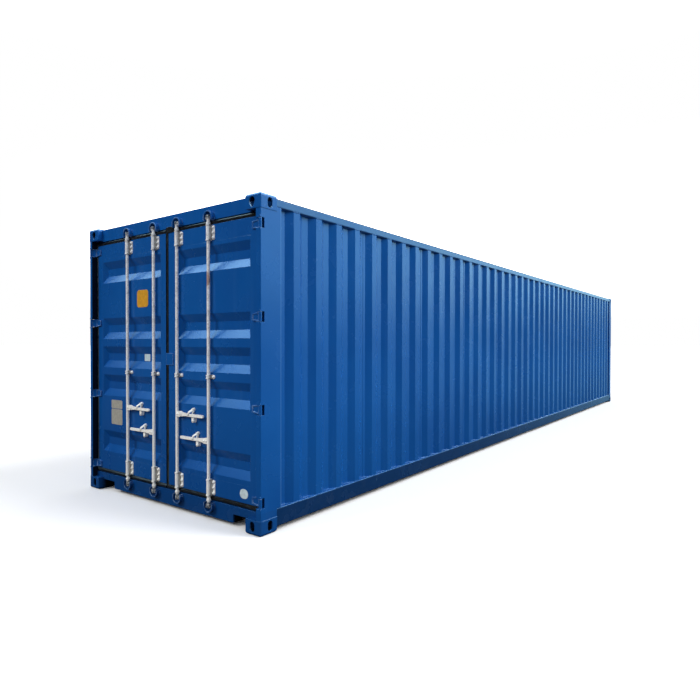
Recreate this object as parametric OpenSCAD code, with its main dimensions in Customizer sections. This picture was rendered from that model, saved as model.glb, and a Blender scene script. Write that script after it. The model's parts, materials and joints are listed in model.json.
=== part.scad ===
// Forty-foot steel freight container with corrugated walls and two swinging end doors.
// X runs along the length with the doors at the -X end, Y across, Z up from the ground.
// The origin is on the ground, in the middle of the footprint.

/* [Overall size] */
// Length over the corner fittings
length = 12192; // [6000:1:13700]
// Width over the corner fittings
width = 2438; // [2430:1:2600]
// Height over the corner fittings
height = 2591; // [2580:1:2900]

/* [Corner fittings] */
// Length of a fitting along the container
fitting_l = 178; // [170:1:186]
// Width of a fitting across the container
fitting_w = 162; // [156:1:168]
// Height of a fitting
fitting_h = 118; // [114:1:122]
// Radius of a fitting's outer upright edge
fitting_edge_r = 15; // [6:1:15]
// Radius along the edges of a fitting's slotted face
fitting_foot_r = 24; // [8:1:26]
// Thickness of the walls with the end and side apertures
fitting_wall = 16; // [14:1:18]
// Thickness of the plate with the twist-lock slot
fitting_plate = 28; // [26:1:30]
// Thickness of the closed inner walls
fitting_back = 10; // [8:1:14]
// Distance from the end plane to the aperture centres
aperture_from_end = 103.5; // [101:0.5:106]
// Distance from the side plane to the aperture centres
aperture_from_side = 89.5; // [88:0.5:92]
// Distance from the top or bottom plane to the centres of the end and side apertures
aperture_from_face = 66.5; // [64:0.5:69]
// Length of a twist-lock slot
lock_slot_l = 124; // [118:1:128]
// Width of a twist-lock slot
lock_slot_w = 63.5; // [60:0.5:66]
// Height of an end or side aperture
hand_hole_h = 79; // [74:1:80]
// Width of an end or side aperture
hand_hole_w = 51; // [46:1:56]
// Width of the shield-shaped end aperture of a top fitting
shield_w = 63; // [60:1:66]
// Width of that aperture at its narrow foot
shield_foot_w = 32; // [24:1:40]

/* [Corner posts] */
// How far the fittings stand proud of the posts and rails
proud = 3; // [2:0.5:6]
// Plate thickness of the posts
post_plate = 6; // [4:0.5:8]
// Outer radius of the posts' folded corner
post_bend = 10; // [8:1:12]
// Depth of a rear post's box section
post_box = 116; // [110:1:130]
// Thickness of a rear post's inner channel
post_channel = 12; // [8:1:14]
// Width of a rear post seen from the door end
post_face = 46; // [44:1:50]
// Depth of a rear post's side face
rear_post_side = 225; // [210:1:240]
// Depth of a front post's side face
front_post_side = 197; // [190:1:220]
// Width of a front post's end face
front_post_face = 107; // [90:1:130]

/* [Rails] */
// Side of the square top rails
top_rail = 60; // [50:1:70]
// Wall of the tube rails
rail_wall = 3; // [2:0.5:5]
// Outer corner radius of the side rails
rail_bend = 8; // [6:1:10]
// Depth of the roof sheet's seat below the top plane
roof_drop = 25; // [24:1:30]
// Ground clearance of the bottom rails
rail_lift = 40; // [30:1:50]
// Height of the bottom rails
bottom_rail_h = 140; // [130:1:160]
// Plate thickness of the bottom rails
bottom_rail_plate = 4.5; // [3:0.5:6]
// Width of a bottom rail's upper flange
rail_ledge = 48; // [46:1:60]
// Width of a bottom rail's lower flange
rail_foot = 30; // [20:1:40]
// Depth of the front rails along the container
front_rail_d = 60; // [50:1:90]

/* [Walls] */
// Sheet thickness of walls and doors
sheet = 2; // [1.5:0.5:3]
// Depth of the side wall corrugation
side_wave = 36; // [30:1:38]
// Width of a crest or trough of the side wall
side_flat = 71; // [60:1:80]
// Width of a slope of the side wall
side_slope = 68; // [40:1:72]
// Set-back of the wave crests from the rail face
wave_set = 4; // [2:1:6]
// Depth of the front wall corrugation
front_wave = 45; // [30:1:48]
// Width of a crest or trough of the front wall
front_flat = 107; // [90:1:120]
// Width of a slope of the front wall
front_slope = 18; // [10:1:30]

/* [Roof] */
// Pitch of the pressed roof ribs
roof_pitch = 209; // [180:1:260]
// Height of a roof rib
roof_rib_h = 19; // [10:1:20]
// Width of a roof rib's crest
roof_crest = 45; // [30:1:70]
// Width of a rib's slopes
roof_slope = 30; // [20:1:45]
// Flat border of the roof at each side
roof_border = 110; // [60:1:160]

/* [Floor] */
// Thickness of the floor deck
floor_t = 28; // [20:1:30]
// Height of a cross member
cross_h = 100; // [90:1:102]
// Gap between the floor deck and the side walls
floor_gap = 8; // [4:1:12]
// Pitch of the cross members
cross_pitch = 400; // [300:1:600]
// Width of a cross member's flanges
cross_flange = 45; // [30:1:60]
// Plate thickness of a cross member
cross_plate = 4; // [3:0.5:6]
// Distance from the door end to the first cross member
cross_first = 300; // [250:1:400]
// Width of the tunnel under the blank end for a trailer's gooseneck
tunnel_w = 1029; // [930:1:1040]
// Length of the tunnel
tunnel_l = 3300; // [3150:1:3500]
// Clear height of the tunnel above the ground
tunnel_h = 120; // [112:1:122]
// Plate thickness of the tunnel
tunnel_plate = 4; // [3:0.5:6]

/* [Door end frame] */
// Set-back of the header and sill from the end plane
frame_set = 53; // [52:1:54]
// Depth of the header and sill along the container
frame_depth = 100; // [90:1:115]
// Height of the header
header_h = 115; // [100:1:125]
// Drop of the header's top below the top plane
header_drop = 11; // [6:1:16]
// Slope of the header's back edge, down to the roof
header_slope = 25; // [14:1:40]
// Height of the sill's top above the ground
sill_top = 165; // [150:1:172]
// Height of the sill's underside above the ground
sill_bottom = 32; // [26:1:40]
// Height of the lift notches at the ends of the sill
sill_notch_h = 68; // [50:1:80]
// Width of the lift notches
sill_notch_w = 200; // [150:1:260]

/* [Doors] */
// Set-back of the door faces from the end plane
door_set = 55; // [54:1:60]
// Thickness of a door leaf
door_t = 50; // [44:1:56]
// Gap that the seals cover between leaf and header
seal_reach = 38; // [30:1:45]
// Gap that the seals cover between leaf and sill
seal_foot = 44; // [34:1:50]
// Half of the gap between the two leaves
leaf_gap = 20; // [18:1:24]
// Gap between a leaf and the post beside it
hinge_gap = 30; // [26:1:34]
// Clearance that moving pieces keep
clear = 5; // [3:0.5:6]
// Width of a leaf's upright on the hinge side
hinge_stile = 80; // [60:1:100]
// Width of a leaf's upright on the lock side
lock_stile = 70; // [60:1:76]
// Height of a leaf's top and bottom members
door_rail = 137; // [110:1:150]
// Depth of the pressed bands in the door sheet
band_depth = 36; // [20:1:40]
// Height of a band's flat
band_flat = 70; // [50:1:90]
// Height of a band's slopes
band_slope = 68; // [40:1:80]
// Length of a band's sloped ends
band_end = 43; // [20:1:60]
// Pitch of the middle bands
band_pitch = 278; // [262:1:290]
// Distance of the outer bands from the leaf's top and bottom edges
outer_band_in = 278; // [262:1:290]
// Lift of the bands above their even places
band_lift = 4; // [0:1:20]
// Inset of the bands from the middle plane on the right leaf
right_band_inset = 155; // [100:1:170]
// Inset of the bands from the middle plane on the left leaf
left_band_inset = 97; // [95:1:170]
// Set-back of a seal from the door face
seal_set = 5; // [3:1:10]
// How far the right leaf's seal passes the leaf's meeting edge
seal_lap = 30; // [24:1:34]
// Flat margin of the door sheet beyond the bands, on the hinge side
band_margin = 5; // [3:1:20]
// Height of the plate that overlaps the meeting edge
overlap_h = 105; // [80:1:130]
// Width of that plate
overlap_w = 98; // [80:1:110]

/* [Hinges] */
// Distance of the hinge pins from the end and side planes
pin_in = 15; // [14:0.5:18]
// Radius of a hinge pin
pin_r = 8; // [6:0.5:9]
// Running clearance of pins and rods in their bores
run = 0.4; // [0.2:0.1:0.6]
// Play between a knuckle and the lugs above and below it
hinge_play = 2; // [1:0.5:5]
// Radius of a hinge knuckle
knuckle_r = 13; // [11.5:0.5:13.5]
// Height of a hinge blade
blade_h = 74; // [60:1:84]
// Thickness of a hinge blade
blade_t = 12; // [8:1:12]
// Length of a blade on the door
blade_l = 80; // [60:1:110]
// Height of a blade's free end
blade_tip_h = 52; // [30:1:56]
// Width of the ribs round a blade's pocket
blade_rib = 9; // [6:1:14]
// Depth of a blade's pocket
blade_pocket = 4; // [2:0.5:6]
// Run of a blade along the door's face before it cranks to the pin
blade_run = 4; // [0:1:6]
// Depth of the post openings behind the hinge pins
notch_deep = 32; // [26:1:34]
// Room behind the door's face that the post keeps at a hinge
notch_room = 7; // [5:0.5:10]
// Thickness of the lugs that hold a pin
lug_t = 12; // [8:1:16]
// Height of the lowest hinge
hinge_first = 252; // [245:1:290]
// Drop of the highest hinge below the top plane
hinge_drop = 230; // [222:1:280]

/* [Lock bars] */
// Radius of a lock bar
bar_r = 13.6; // [13:0.1:15]
// Distance of the bar axes behind the end plane
bar_in = 31; // [29:0.5:31]
// Distance of the inner bars from the middle plane
bar_inner = 170; // [150:1:200]
// Distance of the outer bars from the middle plane
bar_outer = 588; // [560:1:640]
// Height of the lower cams
cam_low = 124; // [118:1:126]
// Drop of the upper cams below the top plane
cam_drop = 105; // [98:1:107]
// Length of a bar beyond its cams
bar_tail = 18; // [16:1:22]
// Height of a cam
cam_h = 30; // [20:1:36]
// Radius of a cam's hub
cam_hub_r = 17; // [16:0.5:17]
// Reach of a cam's lug from the bar axis
cam_reach = 34; // [28:1:35]
// Distance of a bar's collars from its cams
collar_in = 44; // [40:1:46]
// Height of a bar's collars
collar_h = 14; // [8:1:20]
// How far a bar's collars stand out
collar_out = 5; // [2:0.5:6]
// Outer radius of a cam keeper
keeper_r = 54; // [50:1:54]
// Wall of a cam keeper
keeper_t = 10; // [6:1:11]
// How far the keepers stand out from header and sill
keeper_out = 36; // [30:1:38]
// Length of a keeper's straight legs
keeper_leg = 16; // [10:1:18]
// Wall of a bar guide
guide_t = 5; // [4:0.5:6]
// How far the collars at a guide's ends stand out
guide_collar = 3; // [1:0.5:4]
// Height of a guide's collars
guide_collar_h = 9; // [5:1:10]
// Width of a guide's bolting flange
guide_flange = 36; // [30:1:44]
// Radius at the corners of a guide's flange
guide_flange_r = 13; // [6:1:14]
// How far a flange stops short of the ends of an upper or lower guide
guide_trim = 7; // [0:1:12]
// Height of an upper guide
guide_high_h = 130; // [100:1:132]
// Height of a middle guide
guide_mid_h = 32; // [24:1:50]
// Height of a lower guide
guide_low_h = 136; // [100:1:138]
// Height of the lower guides' centres
guide_low = 275; // [273:1:300]
// Height of the middle guides' centres
guide_mid = 1182; // [1150:1:1220]
// Drop of the upper guides' centres below the top plane
guide_drop = 233; // [231:1:260]

/* [Handles] */
// Height of the upper handles
handle_high = 850; // [835:1:880]
// Height of the lower handles
handle_low = 655; // [620:1:670]
// Distance from a handle's tip to the axis of the next bar
handle_stop = 58; // [50:1:80]
// How far a handle cranks outward before its grip
handle_crank = 7; // [0:1:10]
// Thickness of a handle
handle_t = 15; // [10:1:15]
// Height of a handle at its pivot
handle_root = 40; // [30:1:44]
// Height of a handle at its grip
handle_grip = 24; // [16:1:30]
// Distance of a handle's pivot from the bar's axis
pivot_out = 46; // [40:1:50]
// Radius of a handle's pivot pin
pivot_r = 6; // [4:0.5:8]
// Height of the cheeks that carry a handle
cheek_h = 46; // [40:1:52]
// Distance of the upper handles' catches from the bar axis
catch_high_at = 203; // [190:1:240]
// Distance of the lower handles' catches from the bar axis
catch_low_at = 156; // [140:1:180]
// Reach of a catch above the handle's centre line
catch_up = 62; // [40:1:70]
// Reach of a catch below the handle's centre line
catch_down = 60; // [45:1:66]
// Radius of a catch's round ends
catch_r = 14; // [12:1:18]
// Half width of a catch's arms
catch_arm = 9; // [6:1:11]
// Sideways lean of a catch's elbow and foot from its middle line
catch_lean = 16; // [8:1:20]
// Radius of the holes in a catch
catch_hole = 5; // [3:0.5:6]

/* [Hidden] */
$fn = 48;

PAINT = "#1f4f8f";
STEEL = "#c9c5bd";
RUBBER = "#17181a";
TIMBER = "#7a5b3c";

// Door end and blank end, right side and left side
REAR = -1;
BLANK = 1;
RIGHT = -1;
LEFT = 1;
// A hair's overlap for cutters
eps = 1;

half_l = length / 2;
half_w = width / 2;
rail_top = rail_lift + bottom_rail_h;
roof_z = height - roof_drop;
rail_low = roof_z - top_rail;
fitting_top = height - fitting_h;
crest_e = proud + wave_set;
trough_e = crest_e + side_wave;
wall_inside = half_w - trough_e - sheet;
channel_e = proud + post_face;
cross_low = rail_lift + bottom_rail_plate;
cross_span = length - 2 * cross_first;
cross_n = floor(cross_span / cross_pitch);
cross_xs = [for (i = [0:cross_n]) -half_l + cross_first + i * cross_span / cross_n];
tunnel_start = half_l - tunnel_l;
tunnel_half = tunnel_w / 2;
deck_low = cross_low + cross_h;
header_top = height - header_drop;
header_low = header_top - header_h;
door_low = sill_top + seal_foot;
door_top = header_low - seal_reach;
leaf_edge = half_w - channel_e - hinge_gap;
leaf_mid = (door_low + door_top) / 2;
leaf_back = door_set + door_t;
seal_low = sill_top + clear;
seal_top = header_low - clear;
hinge_pitch = (height - hinge_drop - hinge_first) / 3;
hinge_zs = [for (i = [0:3]) hinge_first + i * hinge_pitch];
cam_high = height - cam_drop;
guide_zs = [height - guide_drop, guide_mid, guide_low];
guide_hs = [guide_high_h, guide_mid_h, guide_low_h];
guide_trims = [guide_trim, 0, guide_trim];
band_h = band_flat + 2 * band_slope;
band_zs = concat(
    [door_low + outer_band_in + band_lift],
    [for (k = [-1:1]) leaf_mid + band_lift + k * band_pitch],
    [door_top - outer_band_in + band_lift]
);
bar_ys = [-bar_inner, -bar_outer, bar_inner, bar_outer];
cheek_t = bar_r - handle_t / 2 - 2 * run;
handle_reach = bar_outer - bar_inner - handle_stop;

// Puts a piece drawn at the right rear corner, with x inward from the end plane and y inward from
// the side plane, at any of the four corners
module at_corner(end, side) {
    mirror([end == BLANK ? 1 : 0, 0, 0])
        mirror([0, side == LEFT ? 1 : 0, 0])
            translate([-half_l, -half_w, 0]) children();
}

// A rectangle with its corner at the origin rounded
module corner_round(a, b, r) {
    translate([r, 0]) square([a - r, b]);
    translate([0, r]) square([a, b - r]);
    translate([r, r]) circle(r);
}

// A rectangle with the two corners of its lower side rounded
module foot_round(a, b, r) {
    translate([r, 0]) square([a - 2 * r, b]);
    translate([0, r]) square([a, b - r]);
    for (x = [r, a - r]) translate([x, r]) circle(r);
}

// A rectangle with all four corners rounded
module rounded(a, b, r) {
    translate([r, 0]) square([a - 2 * r, b]);
    translate([0, r]) square([a, b - 2 * r]);
    for (x = [r, a - r], y = [r, b - r]) translate([x, y]) circle(r);
}

// An angle folded from plate, with its fold at the origin
module folded_angle(a, b, r, plate) {
    difference() {
        corner_round(a, b, r);
        translate([plate, plate]) corner_round(a, b, r - plate);
    }
}

// A slot with round ends, long along the first axis
module stadium(long, wide) {
    straight = long - wide;
    square([straight, wide], center = true);
    for (s = [-1, 1]) translate([s * straight / 2, 0]) circle(d = wide);
}

// Two circles on one upright line with their common tangents: a shield with the wide end at -y
module shield(high, wide, foot) {
    r1 = wide / 2;
    r2 = foot / 2;
    span = high - r1 - r2;
    lean = asin((r1 - r2) / span);
    c1 = -high / 2 + r1;
    c2 = high / 2 - r2;
    translate([0, c1]) circle(r1);
    translate([0, c2]) circle(r2);
    polygon([
        [-r1 * cos(lean), c1 + r1 * sin(lean)], [r1 * cos(lean), c1 + r1 * sin(lean)],
        [r2 * cos(lean), c2 + r2 * sin(lean)], [-r2 * cos(lean), c2 + r2 * sin(lean)]
    ]);
}

// Draws a y-z outline and carries it along x
module along_x(l) {
    rotate([90, 0, 90]) linear_extrude(l) children();
}

// Draws an x-z outline and carries it along y
module along_y(l) {
    translate([0, l, 0]) rotate([90, 0, 0]) linear_extrude(l) children();
}

// One hollow casting with its slotted plate at z = 0 and its outer corner at the origin
module fitting(shielded) {
    difference() {
        intersection() {
            linear_extrude(fitting_h) corner_round(fitting_l, fitting_w, fitting_edge_r);
            along_y(fitting_w) foot_round(fitting_l, fitting_h, fitting_foot_r);
            along_x(fitting_l) foot_round(fitting_w, fitting_h, fitting_foot_r);
        }
        translate([fitting_wall, fitting_wall, fitting_plate])
            cube([
                fitting_l - fitting_wall - fitting_back,
                fitting_w - fitting_wall - fitting_back,
                fitting_h - fitting_plate - fitting_back
            ]);
        translate([aperture_from_end, aperture_from_side, -eps])
            linear_extrude(fitting_plate + 2 * eps) stadium(lock_slot_l, lock_slot_w);
        translate([-eps, aperture_from_side, aperture_from_face])
            along_x(fitting_wall + 2 * eps) {
                if (shielded) shield(hand_hole_h, shield_w, shield_foot_w);
                else rotate(90) stadium(hand_hole_h, hand_hole_w);
            }
        translate([aperture_from_end, -eps, aperture_from_face])
            along_y(fitting_wall + 2 * eps) rotate(90) stadium(hand_hole_h, hand_hole_w);
    }
}

module bottom_pair(end) {
    color(PAINT) for (side = [RIGHT, LEFT]) at_corner(end, side) fitting(false);
}

module top_pair(end) {
    color(PAINT)
        for (side = [RIGHT, LEFT])
            at_corner(end, side) translate([0, 0, height]) mirror([0, 0, 1]) fitting(true);
}

module rear_bottom_fittings() bottom_pair(REAR);
module rear_top_fittings() top_pair(REAR);
module front_bottom_fittings() bottom_pair(BLANK);
module front_top_fittings() top_pair(BLANK);

// Trims a post to the castings above and below it and, behind them, to the side rails
module post_ends(depth, across) {
    difference() {
        translate([0, 0, fitting_h]) linear_extrude(rail_low - fitting_h) children();
        translate([-eps, -eps, fitting_top]) cube([fitting_l + eps, across + 2 * eps, fitting_h]);
        translate([fitting_l, -eps, 0]) cube([depth, across + 2 * eps, rail_top]);
    }
}

// Rear post: an open outer section closed by a heavy inner channel, with a tail to the side wall
module rear_post_section() {
    tail = proud + rear_post_side - post_plate;
    translate([proud, proud]) folded_angle(rear_post_side, post_face, post_bend, post_plate);
    translate([proud, channel_e - post_channel]) square([post_box, post_channel]);
    translate([proud + post_box - post_plate, proud]) square([post_plate, post_face]);
    translate([tail, proud]) square([post_plate, trough_e - proud]);
}

// The opening in which a hinge knuckle turns
module hinge_notch() {
    high = blade_h + 2 * hinge_play;
    deep = pin_in + notch_deep;
    relief = door_set + notch_room;
    translate([-eps, -eps, -high / 2]) cube([deep + eps, channel_e + 2 * eps, high]);
    translate([-eps, pin_in + knuckle_r, -high / 2]) cube([relief + eps, channel_e, high]);
}

// The two lugs and the pin of one hinge
module hinge_seat() {
    lug_z = blade_h / 2 + hinge_play;
    deep = door_set + notch_room - proud;
    for (s = [0, 1])
        mirror([0, 0, s]) translate([proud, proud, lug_z]) cube([deep, post_face, lug_t]);
    translate([pin_in, pin_in, -lug_z - eps]) cylinder(r = pin_r, h = 2 * (lug_z + eps));
}

module rear_post(side) {
    color(PAINT) at_corner(REAR, side) {
        difference() {
            post_ends(rear_post_side, post_face + proud) rear_post_section();
            for (z = hinge_zs) translate([0, 0, z]) hinge_notch();
        }
        for (z = hinge_zs) translate([0, 0, z]) hinge_seat();
    }
}

module right_rear_post() rear_post(RIGHT);
module left_rear_post() rear_post(LEFT);

// Front post: an angle whose two returns meet the side wall and the front wall
module front_post_section() {
    tail = proud + front_post_side - post_plate;
    wall_d = proud + wave_set + front_wave;
    translate([proud, proud]) folded_angle(front_post_side, front_post_face, post_bend, post_plate);
    translate([tail, proud]) square([post_plate, trough_e - proud]);
    translate([proud, proud + front_post_face - post_plate]) square([wall_d - proud, post_plate]);
}

module front_post(side) {
    color(PAINT)
        at_corner(BLANK, side) post_ends(front_post_side, front_post_face + proud) front_post_section();
}

module right_front_post() front_post(RIGHT);
module left_front_post() front_post(LEFT);

// Header between the upper castings, with a lower lip behind the doors for the seal
module door_header() {
    span = width - 2 * fitting_w;
    ledge = fitting_l - frame_set;
    color(PAINT)
        translate([-half_l, -span / 2, 0]) along_y(span)
            polygon([
                [frame_set, header_low], [frame_set + frame_depth, header_low],
                [frame_set + frame_depth, rail_low], [frame_set + ledge, rail_low],
                [frame_set + ledge, roof_z], [frame_set + frame_depth, roof_z],
                [frame_set + frame_depth - header_slope, header_top], [frame_set, header_top]
            ]);
}

// Sill with two lift notches; its upper part runs over the castings to the posts
module door_sill() {
    span = 2 * (half_w - channel_e);
    inner = width - 2 * fitting_w;
    color(PAINT)
        translate([-half_l + frame_set, 0, 0])
            difference() {
                translate([0, -span / 2, sill_bottom]) cube([frame_depth, span, sill_top - sill_bottom]);
                for (s = [0, 1]) mirror([0, s, 0]) {
                    translate([-eps, inner / 2 - sill_notch_w, 0])
                        cube([frame_depth + 2 * eps, width, sill_bottom + sill_notch_h]);
                    translate([-eps, inner / 2, 0]) cube([frame_depth + 2 * eps, width, fitting_h]);
                }
            }
}

module front_top_rail() {
    span = width - 2 * fitting_w;
    high = roof_z - fitting_top;
    color(PAINT)
        translate([half_l - proud - front_rail_d, -span / 2, fitting_top])
            difference() {
                cube([front_rail_d, span, high]);
                translate([rail_wall, -eps, rail_wall])
                    cube([front_rail_d - 2 * rail_wall, span + 2 * eps, high - 2 * rail_wall]);
            }
}

module front_bottom_rail() {
    span = width - 2 * fitting_w;
    over = width - 2 * (proud + front_post_face);
    color(PAINT)
        translate([half_l - proud - front_rail_d, 0, 0])
            difference() {
                translate([0, -over / 2, rail_lift]) cube([front_rail_d, over, bottom_rail_h]);
                for (s = [0, 1])
                    mirror([0, s, 0]) translate([-eps, span / 2, 0])
                        cube([front_rail_d + 2 * eps, over, fitting_h]);
                translate([-eps, -tunnel_half, 0]) cube([front_rail_d + 2 * eps, tunnel_w, tunnel_h]);
            }
}

// Square tube along the top of a side wall
module top_side_rail(side) {
    span = length - 2 * fitting_l;
    hollow = top_rail - 2 * rail_wall;
    color(PAINT) at_corner(REAR, side)
        translate([fitting_l, proud, rail_low]) along_x(span) difference() {
            rounded(top_rail, top_rail, rail_bend);
            translate([rail_wall, rail_wall]) rounded(hollow, hollow, rail_bend - rail_wall);
        }
}

module right_top_rail() top_side_rail(RIGHT);
module left_top_rail() top_side_rail(LEFT);

// Channel along the bottom of a side wall, folded from plate, with its open side inward
module bottom_side_rail(side) {
    span = length - 2 * fitting_l;
    half = bottom_rail_h / 2;
    color(PAINT) at_corner(REAR, side)
        translate([fitting_l, proud, rail_lift]) along_x(span) {
            folded_angle(rail_foot, half, rail_bend, bottom_rail_plate);
            translate([0, bottom_rail_h]) mirror([0, 1])
                folded_angle(rail_ledge, half, rail_bend, bottom_rail_plate);
        }
}

module right_bottom_rail() bottom_side_rail(RIGHT);
module left_bottom_rail() bottom_side_rail(LEFT);

// Outline of a trapezoid wave: troughs at depth 0 from a to b, with n crests in the middle of the span
function wave(a, b, n, flat, slope, depth) =
    let (pitch = 2 * (flat + slope), start = (a + b) / 2 - (n * pitch - flat) / 2)
    concat(
        [[a, 0]],
        [for (i = [0:n - 1], p = [[0, 0], [slope, 1], [slope + flat, 1], [2 * slope + flat, 0]])
            [start + i * pitch + p[0], p[1] * depth]],
        [[b, 0]]
    );

// How many whole waves fit in a span with a trough at each end
function wave_count(span, flat, slope) = floor((span - flat) / (2 * (flat + slope)));

function reversed(list) = [for (i = [len(list) - 1:-1:0]) list[i]];

// A folded sheet: the wave and the same wave moved by the sheet's thickness
module folded_sheet(points, thick) {
    polygon(concat(points, reversed([for (p = points) [p[0], p[1] - thick]])));
}

// Corrugated side wall between the tails of the two posts
module side_wall(side) {
    a = proud + rear_post_side - post_plate;
    b = length - proud - front_post_side + post_plate;
    n = wave_count(b - a, side_flat, side_slope);
    color(PAINT) at_corner(REAR, side)
        translate([0, trough_e, rail_top]) linear_extrude(rail_low - rail_top) mirror([0, 1, 0])
            folded_sheet(wave(a, b, n, side_flat, side_slope, side_wave), sheet);
}

module right_side_wall() side_wall(RIGHT);
module left_side_wall() side_wall(LEFT);

// Corrugated wall of the blank end, between the front posts
module front_wall() {
    half = half_w - proud - front_post_face + post_plate;
    n = wave_count(2 * half, front_flat, front_slope);
    color(PAINT)
        translate([half_l - proud - wave_set - front_wave, 0, rail_top])
            linear_extrude(fitting_top - rail_top) rotate(-90)
                folded_sheet(wave(-half, half, n, front_flat, front_slope, front_wave), sheet);
}

// Ribbed roof sheet, cut out round the castings and lapped on the rails and the header
module roof_panel() {
    a = -half_l + frame_set + frame_depth;
    b = half_l - proud;
    side = half_w - proud;
    step = roof_crest + 2 * roof_slope;
    gap = roof_pitch - step;
    n = floor((b - a - 2 * fitting_l) / roof_pitch);
    start = (a + b - n * roof_pitch + gap) / 2;
    ribs = concat(
        [[a, -roof_pitch], [a, 0]],
        [for (i = [0:n - 1], p = [[0, 0], [roof_slope, 1], [roof_slope + roof_crest, 1], [step, 0]])
            [start + i * roof_pitch + p[0], p[1] * roof_rib_h]],
        [[b, 0], [b, -roof_pitch]]
    );
    edge = side - roof_border;
    ends = [
        [-side, -roof_pitch], [-side, 0], [-edge, 0], [-edge + roof_slope, roof_rib_h],
        [edge - roof_slope, roof_rib_h], [edge, 0], [side, 0], [side, -roof_pitch]
    ];
    color(PAINT) difference() {
        translate([0, 0, roof_z + sheet]) roof_form(ribs, ends, a, b, side);
        translate([0, 0, roof_z]) roof_form(ribs, ends, a, b, side);
        translate([a - eps, -width, roof_z - 2 * roof_pitch])
            cube([length, 2 * width, 2 * roof_pitch]);
        for (s = [0, 1], t = [0, 1])
            mirror([0, s, 0]) mirror([t, 0, 0])
                translate([half_l - fitting_l, half_w - fitting_w, roof_z - eps])
                    cube([fitting_l + eps, fitting_w + eps, roof_drop]);
    }
}

// The body under a sheet whose ribs run across and fade out at the sides
module roof_form(ribs, ends, a, b, side) {
    intersection() {
        translate([0, -side, 0]) along_y(2 * side) polygon(ribs);
        translate([a, 0, 0]) along_x(b - a) polygon(ends);
    }
}

module floor_deck() {
    a = -half_l + frame_set + frame_depth;
    b = half_l - proud - front_rail_d;
    half = wall_inside - floor_gap;
    color(TIMBER) translate([a, -half, deck_low]) cube([b - a, 2 * half, floor_t]);
}

// A channel of the floor frame
module cross_channel(l) {
    along_y(l) {
        square([cross_plate, cross_h]);
        square([cross_flange, cross_plate]);
        translate([0, cross_h - cross_plate]) square([cross_flange, cross_plate]);
    }
}

// Channels that carry the floor between the bottom rails, in two stubs beside the tunnel
module cross_members() {
    half = half_w - proud - rail_bend;
    stub = half - tunnel_half - tunnel_plate;
    color(PAINT)
        for (x = cross_xs)
            if (x + cross_flange < tunnel_start)
                translate([x, -half, cross_low]) cross_channel(2 * half);
            else if (x > tunnel_start)
                for (y = [-half, half - stub]) translate([x, y, cross_low]) cross_channel(stub);
            else
                translate([tunnel_start - cross_flange, -half, cross_low]) cross_channel(2 * half);
}

// Tunnel for a trailer's gooseneck: two side plates, a top plate and the bows between it and the floor
module gooseneck_tunnel() {
    l = tunnel_l - proud - front_rail_d;
    outer = tunnel_half + tunnel_plate;
    color(PAINT) {
        for (y = [-outer, tunnel_half])
            translate([tunnel_start, y, cross_low]) cube([l, tunnel_plate, cross_h]);
        translate([tunnel_start, -outer, tunnel_h]) cube([l, 2 * outer, tunnel_plate]);
        for (x = cross_xs)
            if (x > tunnel_start)
                translate([x, -outer, tunnel_h]) cube([cross_flange, 2 * outer, deck_low - tunnel_h]);
    }
}

// An arch with straight legs, as a flat outline that opens towards -y
module arch(r, leg) {
    circle(r);
    translate([-r, -leg]) square([2 * r, leg]);
}

// Arch that a cam turns in; it is open to the front and towards the door
module keeper() {
    linear_extrude(keeper_out) difference() {
        arch(keeper_r, keeper_leg);
        arch(keeper_r - keeper_t, keeper_leg + keeper_r);
    }
}

module cam_keepers() {
    color(PAINT)
        for (y = bar_ys) {
            translate([-half_l + frame_set, y, cam_high]) rotate([90, 0, -90]) keeper();
            translate([-half_l + frame_set, y, cam_low]) mirror([0, 0, 1])
                rotate([90, 0, -90]) keeper();
        }
}

// Leaf frame: two uprights, a top and a bottom member, drawn on the right-hand leaf
module door_frame(side) {
    tall = door_top - door_low;
    wide = leaf_edge - leaf_gap;
    color(PAINT)
        mirror([0, side == LEFT ? 1 : 0, 0])
            translate([-half_l + door_set, -leaf_edge, door_low])
                difference() {
                    cube([door_t, wide, tall]);
                    translate([-eps, hinge_stile, door_rail])
                        cube([door_t + 2 * eps, wide - hinge_stile - lock_stile, tall - 2 * door_rail]);
                }
}

module right_door_frame() door_frame(RIGHT);
module left_door_frame() door_frame(LEFT);

// The space in front of a pressed door sheet: bands run across and slope out at their ends
module door_form(half, tall, a, b) {
    zs = concat(
        [[-2 * band_depth, 0], [0, 0]],
        [for (z = band_zs, p = [[0, 0], [band_slope, 1], [band_slope + band_flat, 1], [band_h, 0]])
            [p[1] * band_depth, z - band_h / 2 - door_low - door_rail + p[0]]],
        [[0, tall], [-2 * band_depth, tall]]
    );
    ys = [
        [-2 * band_depth, -half], [0, -half], [0, a], [band_depth, a + band_end],
        [band_depth, b - band_end], [0, b], [0, half], [-2 * band_depth, half]
    ];
    intersection() {
        translate([0, -half, 0]) along_y(2 * half) polygon(zs);
        linear_extrude(tall) polygon(ys);
    }
}

module door_panel(side) {
    tall = door_top - door_low - 2 * door_rail;
    outer = leaf_edge - hinge_stile;
    inner = leaf_gap + lock_stile;
    half = (outer - inner) / 2;
    mid = (outer + inner) / 2;
    start = band_margin - half;
    inset = side == LEFT ? left_band_inset : right_band_inset;
    color(PAINT)
        mirror([0, side == LEFT ? 1 : 0, 0])
            translate([-half_l + door_set, -mid, door_low + door_rail])
                difference() {
                    translate([sheet, 0, 0]) door_form(half, tall, start, mid - inset);
                    door_form(half, tall, start, mid - inset);
                    translate([-4 * band_depth, -width, -eps])
                        cube([4 * band_depth, 2 * width, tall + 2 * eps]);
                }
}

module right_door_panel() door_panel(RIGHT);
module left_door_panel() door_panel(LEFT);

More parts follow.
